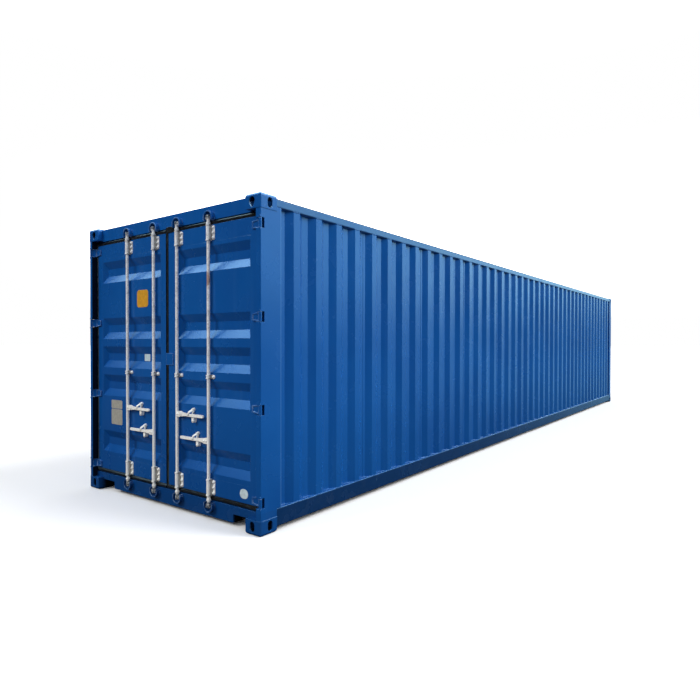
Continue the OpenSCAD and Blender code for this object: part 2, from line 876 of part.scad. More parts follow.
// Rubber seal round a leaf; meet is how far it passes the leaf's meeting edge
module door_seal(side, meet) {
    lip = clear + 1;
    color(RUBBER)
        mirror([0, side == LEFT ? 1 : 0, 0])
            translate([-half_l + door_set + seal_set, 0, 0])
                difference() {
                    translate([0, -half_w + channel_e + lip, seal_low])
                        cube([
                            door_t - seal_set,
                            half_w - channel_e - lip - leaf_gap + meet,
                            seal_top - seal_low
                        ]);
                    translate([-eps, -leaf_edge, door_low])
                        cube([door_t + 2 * eps, leaf_edge - leaf_gap, door_top - door_low]);
                }
}

module right_door_seal() door_seal(RIGHT, seal_lap);
module left_door_seal() door_seal(LEFT, 0);

// Half height of a tapered blade at a distance from the side plane
function blade_half(y) = blade_h / 2 - (y - door_set) * (blade_h - blade_tip_h) / 2 / blade_l;

// Cranked hinge blade: a knuckle on the pin, a slanted web and a tapered leaf with a pocket on the door
module hinge_blade() {
    flat_d = door_set - blade_t;
    rise = door_set - blade_t / 2 - pin_in;
    lean = atan2(rise + blade_run, rise);
    off = [-sin(lean), cos(lean)] * blade_t / 2;
    a = [pin_in, pin_in] + off;
    b = [pin_in, pin_in] - off;
    a_end = a[1] + (flat_d - a[0]) * tan(lean);
    b_end = b[1] + (door_set - b[0]) * tan(lean);
    tip = door_set + blade_l;
    near = a_end + blade_rib;
    far = tip - blade_rib;
    near_half = blade_half(near) - blade_rib;
    far_half = blade_half(far) - blade_rib;
    difference() {
        union() {
            translate([pin_in, pin_in, -blade_h / 2]) cylinder(r = knuckle_r, h = blade_h);
            intersection() {
                translate([0, 0, -blade_h / 2]) linear_extrude(blade_h)
                    polygon([a, [flat_d, a_end], [flat_d, tip], [door_set, tip], [door_set, b_end], b]);
                along_x(2 * door_set)
                    polygon([
                        [0, -blade_h / 2], [door_set, -blade_h / 2], [tip, -blade_tip_h / 2],
                        [tip, blade_tip_h / 2], [door_set, blade_h / 2], [0, blade_h / 2]
                    ]);
            }
        }
        translate([pin_in, pin_in, -blade_h]) cylinder(r = pin_r + run, h = 2 * blade_h);
        along_x(flat_d + blade_pocket)
            polygon([[near, -near_half], [far, -far_half], [far, far_half], [near, near_half]]);
    }
}

module door_hinges(side) {
    color(PAINT) at_corner(REAR, side) for (z = hinge_zs) translate([0, 0, z]) hinge_blade();
}

module right_door_hinges() door_hinges(RIGHT);
module left_door_hinges() door_hinges(LEFT);

// Guide bolted to the leaf that a bar turns in; its flange lies to the right of the bar
module bar_guide(high, trim) {
    outer = bar_r + guide_t;
    back = door_set - bar_in;
    difference() {
        union() {
            translate([0, 0, -high / 2]) linear_extrude(high) {
                circle(outer);
                translate([0, -outer]) square([back, 2 * outer]);
            }
            translate([back - guide_t, -outer - guide_flange, trim - high / 2])
                along_x(guide_t) rounded(guide_flange + guide_flange_r, high - 2 * trim, guide_flange_r);
            for (z = [-high / 2, high / 2 - guide_collar_h])
                translate([0, 0, z]) cylinder(r = outer + guide_collar, h = guide_collar_h);
        }
        translate([0, 0, -high]) cylinder(r = bar_r + run, h = 2 * high);
    }
}

module bar_guides(side) {
    color(STEEL)
        for (y = [bar_inner, bar_outer], i = [0:2])
            translate([-half_l + bar_in, side * y, guide_zs[i]]) bar_guide(guide_hs[i], guide_trims[i]);
}

module right_bar_guides() bar_guides(RIGHT);
module left_bar_guides() bar_guides(LEFT);

// Which way a handle points from its bar: the upper ones to the right, the lower ones to the left
function points_to(y) = y == -bar_inner || y == bar_outer ? RIGHT : LEFT;
function handle_z(y) = points_to(y) == RIGHT ? handle_high : handle_low;
function catch_at(y) = points_to(y) == RIGHT ? catch_high_at : catch_low_at;

// A flat strip with round ends from a to b
module strip(a, b, r) {
    translate(a) circle(r);
    translate(b) circle(r);
    translate(a) rotate(atan2(b[1] - a[1], b[0] - a[0])) translate([0, -r]) square([norm(b - a), 2 * r]);
}

// Catch on the leaf: an elbowed plate behind the handle, with an eye above it and a cradle under it
module handle_catch() {
    plate_in = bar_in + handle_t / 2 + clear;
    plate_t = door_set - plate_in;
    ledge_z = -handle_grip / 2 - clear;
    elbow = [catch_lean, 0];
    eye = [0, catch_up - catch_r];
    foot = [-catch_lean, catch_r - catch_down];
    difference() {
        union() {
            translate([plate_in, 0, 0]) along_x(plate_t) {
                strip(elbow, eye, catch_arm);
                strip(elbow, foot, catch_arm);
                translate(eye) circle(catch_r);
            }
            translate([plate_in - handle_t - clear, 0, 0]) along_x(handle_t + clear + plate_t) {
                translate(foot) circle(catch_r);
                translate([foot[0] - catch_r, foot[1]]) square([2 * catch_r, ledge_z - foot[1]]);
            }
        }
        along_x(door_set - sheet) for (spot = [eye, foot]) translate(spot) circle(catch_hole);
    }
}

module handle_catches(side) {
    color(STEEL)
        for (y = [side * bar_inner, side * bar_outer])
            translate([-half_l, y + points_to(y) * catch_at(y), handle_z(y)]) handle_catch();
}

module right_handle_catches() handle_catches(RIGHT);
module left_handle_catches() handle_catches(LEFT);

// Plate on the right leaf that laps over the meeting edge
module overlap_plate() {
    lap = leaf_gap / 2;
    color(PAINT)
        translate([-half_l + door_set - post_plate, lap - overlap_w, leaf_mid - overlap_h / 2])
            cube([post_plate, overlap_w, overlap_h]);
}

// Cam: a hub with one lug that points the same way as the handle
module cam(way) {
    lug = cam_hub_r / 2;
    translate([0, 0, -cam_h / 2]) linear_extrude(cam_h) {
        circle(cam_hub_r);
        translate([-lug, way > 0 ? 0 : -cam_reach + lug]) square([2 * lug, cam_reach - lug]);
        translate([0, way * (cam_reach - lug)]) circle(lug);
    }
}

// Two cheeks on the bar with the pin that the handle lifts on
module handle_hub(way) {
    for (s = [-1, 1])
        translate([s * (bar_r - cheek_t / 2) - cheek_t / 2, 0, 0]) along_x(cheek_t) {
            translate([way * pivot_out, 0]) circle(d = cheek_h);
            translate([way > 0 ? 0 : -pivot_out, -cheek_h / 2]) square([pivot_out, cheek_h]);
        }
    translate([-bar_r, way * pivot_out, 0]) rotate([0, 90, 0]) cylinder(r = pivot_r, h = 2 * bar_r);
}

module lock_bar(y) {
    way = points_to(y);
    low = cam_low - bar_tail;
    color(STEEL)
        translate([-half_l + bar_in, y, 0]) {
            translate([0, 0, low]) cylinder(r = bar_r, h = cam_high + bar_tail - low);
            for (z = [cam_low, cam_high]) translate([0, 0, z]) cam(way);
            for (z = [cam_low + collar_in, cam_high - collar_in - collar_h])
                translate([0, 0, z]) cylinder(r = bar_r + collar_out, h = collar_h);
            translate([0, 0, handle_z(y)]) handle_hub(way);
        }
}

module right_inner_bar() lock_bar(-bar_inner);
module right_outer_bar() lock_bar(-bar_outer);
module left_inner_bar() lock_bar(bar_inner);
module left_outer_bar() lock_bar(bar_outer);

// Forged handle that lifts on its pin: it tapers to a round-ended grip and cranks outward before it
module handle(y) {
    way = points_to(y);
    tip = handle_reach - handle_grip / 2;
    root = handle_root / 2;
    grip = handle_grip / 2;
    half = handle_t / 2;
    neck = pivot_out + handle_root * 2;
    knee = neck + handle_root;
    color(STEEL)
        translate([-half_l + bar_in, y, handle_z(y)])
            mirror([0, way == RIGHT ? 1 : 0, 0])
                intersection() {
                    translate([-half - handle_crank, 0, 0])
                        along_x(handle_t + handle_crank) difference() {
                            union() {
                                translate([pivot_out, 0]) circle(root);
                                polygon([
                                    [pivot_out, -root], [neck, -grip], [tip, -grip],
                                    [tip, grip], [neck, grip], [pivot_out, root]
                                ]);
                                translate([tip, 0]) circle(grip);
                            }
                            translate([pivot_out, 0]) circle(pivot_r + run);
                        }
                    translate([0, 0, -root]) linear_extrude(handle_root)
                        polygon([
                            [half, pivot_out - root], [half, neck], [half - handle_crank, knee],
                            [half - handle_crank, handle_reach], [-half - handle_crank, handle_reach],
                            [-half - handle_crank, knee], [-half, neck], [-half, pivot_out - root]
                        ]);
                }
}

module right_inner_handle() handle(-bar_inner);
module right_outer_handle() handle(-bar_outer);
module left_inner_handle() handle(bar_inner);
module left_outer_handle() handle(bar_outer);

rear_bottom_fittings();
rear_top_fittings();
front_bottom_fittings();
front_top_fittings();
right_rear_post();
left_rear_post();
right_front_post();
left_front_post();
door_header();
door_sill();
front_top_rail();
front_bottom_rail();
right_top_rail();
left_top_rail();
right_bottom_rail();
left_bottom_rail();
right_side_wall();
left_side_wall();
front_wall();
roof_panel();
floor_deck();
cross_members();
gooseneck_tunnel();
cam_keepers();
right_door_frame();
right_door_panel();
right_door_seal();
right_door_hinges();
right_bar_guides();
right_handle_catches();
overlap_plate();
left_door_frame();
left_door_panel();
left_door_seal();
left_door_hinges();
left_bar_guides();
left_handle_catches();
right_inner_bar();
right_outer_bar();
left_inner_bar();
left_outer_bar();
right_inner_handle();
right_outer_handle();
left_inner_handle();
left_outer_handle();
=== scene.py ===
"""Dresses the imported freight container: paint, zinc on the lock gear, seals, welds, boards and plates."""

import json
import math

import bpy
import numpy as np
from mathutils import Matrix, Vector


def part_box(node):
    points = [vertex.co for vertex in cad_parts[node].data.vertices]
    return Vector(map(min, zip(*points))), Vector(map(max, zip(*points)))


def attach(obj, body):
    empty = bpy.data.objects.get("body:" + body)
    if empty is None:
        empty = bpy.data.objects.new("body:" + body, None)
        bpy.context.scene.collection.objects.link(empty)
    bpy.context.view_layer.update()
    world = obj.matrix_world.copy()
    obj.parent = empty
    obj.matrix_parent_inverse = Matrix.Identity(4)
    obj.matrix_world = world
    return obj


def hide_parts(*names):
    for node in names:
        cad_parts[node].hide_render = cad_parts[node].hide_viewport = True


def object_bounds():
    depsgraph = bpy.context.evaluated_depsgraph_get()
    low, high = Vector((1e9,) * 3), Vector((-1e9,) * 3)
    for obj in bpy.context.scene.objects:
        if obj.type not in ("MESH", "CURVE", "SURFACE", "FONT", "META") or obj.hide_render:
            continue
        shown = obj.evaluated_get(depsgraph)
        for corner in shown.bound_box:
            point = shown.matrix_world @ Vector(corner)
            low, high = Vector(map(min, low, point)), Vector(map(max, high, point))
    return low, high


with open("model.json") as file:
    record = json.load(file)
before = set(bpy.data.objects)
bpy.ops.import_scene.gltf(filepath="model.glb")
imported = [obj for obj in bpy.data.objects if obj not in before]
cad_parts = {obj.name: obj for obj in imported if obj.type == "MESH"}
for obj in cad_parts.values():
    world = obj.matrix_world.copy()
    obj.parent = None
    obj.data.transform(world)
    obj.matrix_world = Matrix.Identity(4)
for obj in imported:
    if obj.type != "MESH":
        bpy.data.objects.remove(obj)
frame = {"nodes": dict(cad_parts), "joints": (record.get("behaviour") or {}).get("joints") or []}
cad_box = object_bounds()
nodes = frame["nodes"]
scene = bpy.context.scene

# The camera stands where the photograph was taken: metres and degrees, heading measured from +X towards +Y
CAMERA_AT = (-8.987, -4.194, 1.458)
CAMERA_HEADING = 36.55
CAMERA_PITCH = -0.69
CAMERA_ROLL = -0.08
CAMERA_LENS = 28.28
CAMERA_REACH = 400.0


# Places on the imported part

def bounds_of(name):
    """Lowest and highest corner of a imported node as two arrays."""
    low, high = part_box(name)
    return np.array(low), np.array(high)


SIDES = {"right": -1, "left": 1}
END = cad_box[0][0]
DOOR_FACE = bounds_of("right_door_frame")[0][0]
POST_SEAM = bounds_of("right_rear_post")[1][0]

# How far the near-black reveals reach: the x on the rear posts and the y on the left leaf's meeting edge
POST_DARK_TO, LEAF_DARK_TO = -5.985, 0.03

# Each lock bar's axis, by the bar's name, and the bars' radius
TURN = "_bar_turn"
BAR_AT = {j["name"].removesuffix(TURN): j["pos_m"] for j in frame["joints"] if j["name"].endswith(TURN)}
BAR_R = 0.0136

# The corner fittings: the middle between them, how far out their faces are, and their own sizes
fitting_low, fitting_high = bounds_of("front_bottom_fittings")
MIDDLE = {"X": 0.0, "Y": 0.0, "Z": cad_box[1][2] / 2}
REACH = {"X": cad_box[1][0], "Y": cad_box[1][1], "Z": cad_box[1][2] / 2}
FITTING = {"X": fitting_high[0] - fitting_low[0], "Y": 0.162, "Z": fitting_high[2] - fitting_low[2]}


# Node trees

class Wiring:
    """A node tree under construction: its helpers add nodes and give back their outputs."""

    def __init__(self, tree):
        self.tree = tree

    def node(self, kind, inputs=None, **settings):
        """One node of that kind; inputs are numbers, colours or other nodes' outputs."""
        made = self.tree.nodes.new("ShaderNode" + kind)
        for key, value in settings.items():
            setattr(made, key, value)
        for key, value in (inputs or {}).items():
            if isinstance(value, bpy.types.NodeSocket):
                self.tree.links.new(value, made.inputs[key])
            else:
                made.inputs[key].default_value = value
        return made

    def ramp(self, value, low, high, start=0.0, end=1.0):
        """Runs smoothly from start to end as value goes from low to high."""
        return self.node("MapRange", {
            "Value": value, "From Min": low, "From Max": high, "To Min": start, "To Max": end
        }, interpolation_type="SMOOTHSTEP").outputs["Result"]

    def math(self, operation, a, b=0.0, c=0.0):
        """One arithmetic step on two or three values."""
        return self.node("Math", {0: a, 1: b, 2: c}, operation=operation).outputs["Value"]

    def times(self, a, b):
        """The product of two values."""
        return self.math("MULTIPLY", a, b)

    def away(self, value, middle):
        """How far a value is from a middle, either way."""
        return self.math("ABSOLUTE", self.math("SUBTRACT", value, middle))

    def line(self, off, rise, fall, most=1.0):
        """A soft line: it rises to most over one stretch of a distance and falls again over another."""
        return self.times(self.ramp(off, *rise, 0.0, most), self.ramp(off, *fall))

    def mix(self, factor, a, b):
        """Blends colour a into colour b."""
        return self.node("Mix", {"Factor": factor, "A": a, "B": b}, data_type="RGBA").outputs["Result"]

    def parts(self, vector):
        """The X, Y and Z of a vector."""
        return self.node("SeparateXYZ", {"Vector": vector}).outputs


class Shades(Wiring):
    """A material under construction, round one principled shader."""

    def __init__(self, name, **sockets):
        self.material = bpy.data.materials.new(name)
        self.material.use_nodes = True
        super().__init__(self.material.node_tree)
        self.shader = self.tree.nodes["Principled BSDF"]
        for socket, value in sockets.items():
            self.shader.inputs[socket.replace("_", " ")].default_value = value
        self.at = self.node("TexCoord").outputs

    def stretched(self, scale):
        """Object coordinates, each times its own scale."""
        return self.node("Mapping", {"Vector": self.at["Object"], "Scale": scale}).outputs["Vector"]

    def noise(self, scale, detail=3.0, rough=0.55, vector=None):
        """Fractal noise from 0 to 1, with about scale waves in a metre."""
        return self.node("TexNoise", {
            "Vector": vector or self.at["Object"], "Scale": scale, "Detail": detail, "Roughness": rough
        }).outputs["Fac"]

    def vectors(self, operation, a, b=(0.0, 0.0, 0.0)):
        """One step on two vectors: a dot product and a length are values, the rest are vectors."""
        made = self.node("VectorMath", {0: a, 1: b}, operation=operation).outputs
        return made["Value" if operation in ("DOT_PRODUCT", "LENGTH") else "Vector"]

    def facing(self, direction):
        """How far a face looks in a direction: the cosine of the angle between them."""
        return self.vectors("DOT_PRODUCT", self.at["Normal"], direction)

    def rounded(self, radius):
        """The normal that the surface would have if its edges were rounded."""
        return self.node("Bevel", {"Radius": radius}, samples=4).outputs["Normal"]

    def edges(self, radius):
        """Near 1 along sharp edges, 0 on flats: how far a rounded normal leans from the true one."""
        true = self.node("NewGeometry").outputs["True Normal"]
        return self.ramp(self.vectors("DOT_PRODUCT", self.rounded(radius), true), 0.995, 0.80)

    def bump(self, value, distance, strength=1.0, under=None):
        """A relief of that depth in metres, on top of another relief if one is given."""
        inputs = {"Height": value, "Distance": distance, "Strength": strength}
        if under is not None:
            inputs["Normal"] = under
        return self.node("Bump", inputs).outputs["Normal"]

    def wire(self, output, socket):
        """Feeds an output into a socket of the shader."""
        self.tree.links.new(output, self.shader.inputs[socket])


def srgb(red, green, blue):
    """A display colour of 0 to 255 as linear light: each channel plus 0.055, over 1.055, to the power 2.4."""
    channels = np.array([red, green, blue]) / 255
    linear = np.where(channels > 0.04045, ((channels + 0.055) / 1.055) ** 2.4, channels / 12.92)
    return (*linear.tolist(), 1.0)


# Paint

# The coat's blues; BLUE_LOW is the painted shade low down and along joints
BLUE, BLUE_DEEP, BLUE_LOW = srgb(15, 83, 155), srgb(12, 75, 146), srgb(9, 40, 78)
# Pale blues for streaks and scuffs, also used as painted highlights on edges and along joints
BLUE_CHALK_AND_GLINT, BLUE_WORN_AND_GLINT = srgb(70, 122, 184), srgb(150, 182, 222)
DUST = srgb(84, 94, 104)
# Pale grey for a painted sheen
GREY_SHEEN = srgb(132, 172, 178)
LINING = srgb(176, 180, 178)
# Near black for painted shade inside the hollow fittings and under the notches
SHADE_BLACK = srgb(13, 15, 18)
REVEAL_NAVY = srgb(14, 22, 38)
GLEAM = (0.42, 0.72, 1.0, 1.0)
GLOSS, DULL = 0.5, 0.05
ROUND_EDGE = 0.003

# Heights at which the painted shade starts to darken the coat and is darkest, and the same for the painted
# shade and the dust at the foot
DARKENS = (1.3, 0.15)
SHADED_DUSTY_FOOT = (0.184, 0.170)

# A painted highlight line and a painted shade line along the joint of wall and post: where each rises and
# where it falls, as distances behind the joint
JOINT_HIGHLIGHT = (-0.011, -0.006), (0.002, -0.002)
JOINT_SHADE = (0.002, 0.006), (0.019, 0.013)

# How deep the near-black reveal's edge, the painted shade inside a hollow fitting and the black painted shade
# below a height fade in
REVEAL_FADE = 0.004
HOLLOW_SHADE_DEPTH = (0.005, 0.016)
UNDER_FADE = 0.003
UNDER_DEPTH_SILL, UNDER_DEPTH_FITTING = (0.057, 0.075), (0.02, 0.09)


def weathered(s, height, wear_and_glint, foot_shade, scuff_and_glint, edge):
    """The blue coat's colour: slow drift, faint rain streaks, painted shade that darkens it low down and at
    the foot, dust at the foot, and pale edges that are partly scuffs and partly a painted highlight.
    """
    coat = s.mix(s.ramp(s.noise(0.9, 4.0), 0.3, 0.7), BLUE_DEEP, BLUE)
    streaks = s.noise(1.0, 5.0, 0.6, s.stretched((9.0, 9.0, 0.35)))
    coat = s.mix(s.ramp(streaks, 0.52, 0.78, 0.0, 0.10), coat, BLUE_CHALK_AND_GLINT)
    # Painted shade: the coat darkens towards the bottom
    coat = s.mix(s.ramp(height, *DARKENS, 0.0, 0.22), coat, BLUE_LOW)
    # Painted shade at the foot: the coat darkens below these heights, by a share that each paint sets
    low = s.ramp(height, *SHADED_DUSTY_FOOT)
    coat = s.mix(s.times(low, foot_shade), coat, BLUE_LOW)
    grime = s.times(low, s.ramp(s.noise(7.0, 5.0, 0.65), 0.45, 0.8, 0.0, 0.07))
    coat = s.mix(grime, coat, DUST)
    # Pale edges: partly scuffed paint, partly a painted highlight along the edges
    scuffed_and_glinting = s.times(s.edges(edge), s.ramp(s.noise(24.0, 4.0), 0.42, 0.62, wear_and_glint / 5, wear_and_glint))
    return s.mix(scuffed_and_glinting, coat, scuff_and_glint)


def fitting_depth(s, where):
    """How deep a point lies in its corner fitting: the least distance to any of the fitting's faces."""
    depth = 1.0
    for axis, middle in MIDDLE.items():
        outer = s.math("SUBTRACT", REACH[axis], s.away(where[axis], middle))
        inner = s.math("SUBTRACT", FITTING[axis], outer)
        depth = s.math("MINIMUM", depth, s.math("MINIMUM", outer, inner))
    return depth


def shade_below_mask(s, where, top, hollow):
    """Where black painted shade lies: below a height and behind the end faces.

    On the hollow fittings only the faces that look at each other have it: there the normal's Y and the
    place's Y have opposite signs.
    """
    depth = s.math("SUBTRACT", REACH["X"], s.away(where["X"], MIDDLE["X"]))
    behind = s.ramp(depth, *(UNDER_DEPTH_FITTING if hollow else UNDER_DEPTH_SILL))
    black = s.times(behind, s.ramp(where["Z"], top + UNDER_FADE, top - UNDER_FADE))
    if hollow:
        inward = s.times(s.parts(s.at["Normal"])["Y"], where["Y"])
        black = s.times(black, s.ramp(inward, -0.6, -0.9))
    return black


def paint(name, lining=None, reveal=None, seam=None, hollow=False, under=None, wear_and_glint=0.5, foot_shade=0.45,
          scuff_and_glint=BLUE_CHALK_AND_GLINT, edge=0.004, gloss=GLOSS, sheen=0.0):
    """Semi-gloss weathered coat with faint ripples and orange peel.

    With sheen, that share of it is a pale grey painted sheen. With seam, an x, there is a painted highlight
    line before it and a painted shade line behind it, where a wall meets its post. With lining, a direction
    into the hold, faces that look that way carry the pale inside coat instead. With reveal, a direction, an
    axis and a limit, faces that look that way below the limit are near black. With hollow, the inside of the
    corner fittings is near black as painted shade. With under, a height, black painted shade lies below it.
    """
    s = Shades(name, IOR=1.45, Specular_Tint=GLEAM, Specular_IOR_Level=gloss)
    where = s.parts(s.at["Object"])
    coat = weathered(s, where["Z"], wear_and_glint, foot_shade, scuff_and_glint, edge)
    # Painted sheen: a share of the coat turns pale grey, as the sky's veil would make it
    if sheen:
        coat = s.mix(s.ramp(s.noise(5.0, 4.0), 0.3, 0.7, 0.7 * sheen, sheen), coat, GREY_SHEEN)
    if seam:
        # Painted highlight line before the joint and painted shade line behind it
        off = s.math("SUBTRACT", where["X"], seam)
        coat = s.mix(s.line(off, *JOINT_HIGHLIGHT, 0.5), coat, BLUE_CHALK_AND_GLINT)
        coat = s.mix(s.line(off, *JOINT_SHADE, 0.5), coat, BLUE_LOW)
    if lining:
        coat = s.mix(s.ramp(s.facing(lining), 0.52, 0.68), coat, LINING)
    if reveal:
        direction, axis, limit = reveal
        # Faces of the reveal below the limit are near black and dull
        near_black = s.times(s.ramp(s.facing(direction), 0.6, 0.8), s.ramp(where[axis], limit, limit - REVEAL_FADE))
        coat = s.mix(near_black, coat, REVEAL_NAVY)
        s.wire(s.ramp(near_black, 0.0, 1.0, gloss, DULL), "Specular IOR Level")
    if hollow:
        # Painted shade: the inside of the hollow corner fittings is near black and duller
        dark = s.ramp(fitting_depth(s, where), *HOLLOW_SHADE_DEPTH)
        coat = s.mix(dark, coat, SHADE_BLACK)
        s.wire(s.ramp(dark, 0.0, 1.0, gloss, DULL), "Specular IOR Level")
    if under:
        # Black painted shade below a height, behind the end faces
        coat = s.mix(shade_below_mask(s, where, under, hollow), coat, SHADE_BLACK)
    s.wire(coat, "Base Color")
    s.wire(s.ramp(s.noise(3.5, 4.0), 0.3, 0.7, 0.2, 0.29), "Roughness")
    ripple = s.bump(s.noise(2.2, 1.0), 0.006, 0.24, s.rounded(ROUND_EDGE))
    s.wire(s.bump(s.noise(420.0, 2.0), 0.0004, 0.35, ripple), "Normal")
    return s.material


# Zinc, rubber and timber

ZINC_DULL, ZINC_BRIGHT, ZINC_MOTTLE = srgb(220, 219, 221), srgb(246, 244, 243), srgb(158, 158, 164)
ZINC_BLOOM = srgb(248, 243, 230)
# Rust; grease darkened as painted shade on the cams; painted shade for the guides' corners
RUST, GREASE_AND_SHADE, CORNER_SHADE = srgb(150, 98, 70), srgb(34, 44, 60), srgb(58, 60, 64)
RUBBER_BLACK, RUBBER_BLOOM = srgb(17, 17, 18), srgb(42, 42, 43)
TIMBER_DARK, TIMBER_PALE, TIMBER_BAND = srgb(96, 60, 38), srgb(152, 106, 70), srgb(84, 52, 34)

# Heights: where the mottling and the white bloom fade in, and where the cams begin
MOTTLES = (0.9, 1.7)
BLOOMS = (1.5, 0.8)
CAM_HIGH, CAM_LOW = (2.466, 2.482), (0.164, 0.148)

# A rusted scrape on one bar: its middle, its shape as a share of each distance, and where it fades in
SCRAPE_AT = (-6.079, -0.588, 1.98)
SCRAPE_SHAPE = (1.0, 1.0, 0.42)
SCRAPE_FADE = (0.05, 0.03)

# Painted shade beside a guide's sleeve: distances from the middle of the bar at which it rises and falls
SLEEVE_SHADE = (0.0165, 0.0195), (0.029, 0.025)


def galvanised(name, rust_at=None, shaded=False):
    """Hot-dip zinc: a crystal spangle of pale and darker cells, mottled high up, with white bloom low down,
    small rust freckles, and dark grease on the cams at the bars' ends, darkened further as painted shade.

    Rust_at is the middle of a scraped and rusted patch. With shaded, painted shade lies in the corner between
    a guide's sleeve and its flange, where the distance from the nearest bar's middle is a little over the
    sleeve's radius.
    """
    s = Shades(name)
    where = s.parts(s.at["Object"])
    height = where["Z"]
    cells = s.node("TexVoronoi", {"Vector": s.at["Object"], "Scale": 110.0}).outputs["Color"]
    grey = s.node("SeparateColor", {"Color": cells}, mode="HSV").outputs[2]
    zinc = s.mix(s.ramp(grey, 0.2, 0.9), ZINC_DULL, ZINC_BRIGHT)
    mottled = s.times(s.ramp(s.noise(34.0, 4.0, 0.65), 0.42, 0.66, 0.0, 0.46), s.ramp(height, *MOTTLES))
    zinc = s.mix(mottled, zinc, ZINC_MOTTLE)
    bloom = s.times(s.ramp(height, *BLOOMS), s.ramp(s.noise(11.0, 5.0, 0.65), 0.35, 0.7, 0.2, 0.8))
    zinc = s.mix(bloom, zinc, ZINC_BLOOM)
    rust = s.ramp(s.noise(19.0, 6.0, 0.7), 0.70, 0.80, 0.0, 0.6)
    if rust_at:
        off = s.vectors("SUBTRACT", s.at["Object"], rust_at)
        far = s.vectors("LENGTH", s.vectors("MULTIPLY", off, SCRAPE_SHAPE))
        ragged = s.math("MULTIPLY_ADD", s.noise(60.0, 4.0), 0.03, far)
        rust = s.math("MAXIMUM", rust, s.ramp(ragged, *SCRAPE_FADE, 0.0, 0.8))
    zinc = s.mix(rust, zinc, RUST)
    # Dark grease on the cams, darkened further as painted shade inside their keepers
    ends = s.math("MAXIMUM", s.ramp(height, *CAM_HIGH), s.ramp(height, *CAM_LOW))
    grease_and_shade = s.times(ends, s.ramp(s.noise(70.0, 4.0), 0.36, 0.54, 0.4, 0.95))
    zinc = s.mix(grease_and_shade, zinc, GREASE_AND_SHADE)
    if shaded:
        # Painted shade in the corner between a guide's sleeve and its flange
        outer, inner = abs(BAR_AT["right_outer"][1]), abs(BAR_AT["right_inner"][1])
        off = s.away(s.math("ABSOLUTE", where["Y"]), (outer + inner) / 2)
        sleeve_shade = s.line(s.away(off, (outer - inner) / 2), *SLEEVE_SHADE)
        zinc = s.mix(s.times(sleeve_shade, 0.75), zinc, CORNER_SHADE)
    s.wire(zinc, "Base Color")
    s.wire(s.ramp(s.noise(60.0, 3.0), 0.3, 0.7, 0.32, 0.5), "Roughness")
    s.wire(s.bump(s.noise(160.0, 3.0), 0.0006, 0.4, s.rounded(ROUND_EDGE)), "Normal")
    return s.material


def rubber():
    """Black gasket rubber with a grey weathered bloom and a fine grain."""
    s = Shades("seal_rubber", Specular_IOR_Level=0.7)
    bloom = s.ramp(s.noise(14.0, 5.0, 0.6), 0.4, 0.75, 0.0, 0.5)
    s.wire(s.mix(bloom, RUBBER_BLACK, RUBBER_BLOOM), "Base Color")
    s.wire(s.ramp(s.noise(30.0, 3.0), 0.3, 0.7, 0.3, 0.45), "Roughness")
    s.wire(s.bump(s.noise(300.0, 3.0), 0.0004, 0.5), "Normal")
    return s.material


def timber():
    """Red-brown plywood face: long grain lines and darker bands, both drawn out along the part."""
    s = Shades("floor_timber")
    grain = s.noise(2.2, 8.0, 0.7, s.stretched((1.0, 26.0, 26.0)))
    face = s.mix(s.ramp(grain, 0.3, 0.7), TIMBER_DARK, TIMBER_PALE)
    bands = s.noise(0.8, 3.0, 0.5, s.stretched((0.8, 5.0, 5.0)))
    face = s.mix(s.ramp(bands, 0.45, 0.75, 0.0, 0.45), face, TIMBER_BAND)
    s.wire(face, "Base Color")
    s.wire(s.ramp(grain, 0.3, 0.7, 0.5, 0.66), "Roughness")
    s.wire(s.bump(grain, 0.0008, 0.5), "Normal")
    return s.material


# Finishes of the imported nodes

# Heights below which black painted shade lies inside the castings and in the sill's notches
CASTING_UNDER, SILL_UNDER = 0.115, 0.101
FRONT_GLOSS = 0.08
# Share of pale grey painted sheen on the top rails
RAIL_SHEEN = 0.24
PAINT = paint("blue_paint")
SEAM_PAINT = paint("seam_paint", wear_and_glint=0.12)
ZINC = galvanised("galvanised_steel")
RUBBER = rubber()
TIMBER = timber()
# Pale edges on keepers and plates: partly worn paint, partly a painted highlight
KEEPER_PAINT = paint("keeper_paint", wear_and_glint=0.75, scuff_and_glint=BLUE_WORN_AND_GLINT, edge=0.010)
LEAF_PAINT = paint("lined_leaf", (1, 0, 0), wear_and_glint=0.25)
CASTING_PAINT = paint("casting_paint", hollow=True, under=CASTING_UNDER, foot_shade=0.3)
# Painted shade darkens the front castings strongly at the foot
FRONT_CASTING_PAINT = paint("front_casting_paint", hollow=True, under=CASTING_UNDER, foot_shade=0.9,
                            gloss=FRONT_GLOSS)

# The finish by how a node's name ends: the first that fits counts, and plain paint is on the rest
FINISHES = {
    "door_frame": LEAF_PAINT,
    "door_panel": LEAF_PAINT,
    "front_top_fittings": FRONT_CASTING_PAINT,
    "front_bottom_fittings": FRONT_CASTING_PAINT,
    "fittings": CASTING_PAINT,
    "front_post": paint("front_post_paint", gloss=FRONT_GLOSS),
    # The bottom rails' web is painted much darker as shade
    "bottom_rail": paint("rail_paint", wear_and_glint=0.35, foot_shade=0.95),
    "door_sill": paint("sill_paint", under=SILL_UNDER),
    "right_outer_bar": galvanised("galvanised_scraped", SCRAPE_AT),
    "guides": galvanised("galvanised_guide", shaded=True),
    "bar": ZINC,
    "handle": ZINC,
    "catches": ZINC,
    # Hinges: pale edges, partly worn paint and partly a painted highlight
    "hinges": paint("hinge_paint", wear_and_glint=1.0, scuff_and_glint=BLUE_WORN_AND_GLINT, edge=0.008),
    "cam_keepers": KEEPER_PAINT,
    "overlap_plate": KEEPER_PAINT,
    "seal": RUBBER,
    "floor_deck": TIMBER,
}

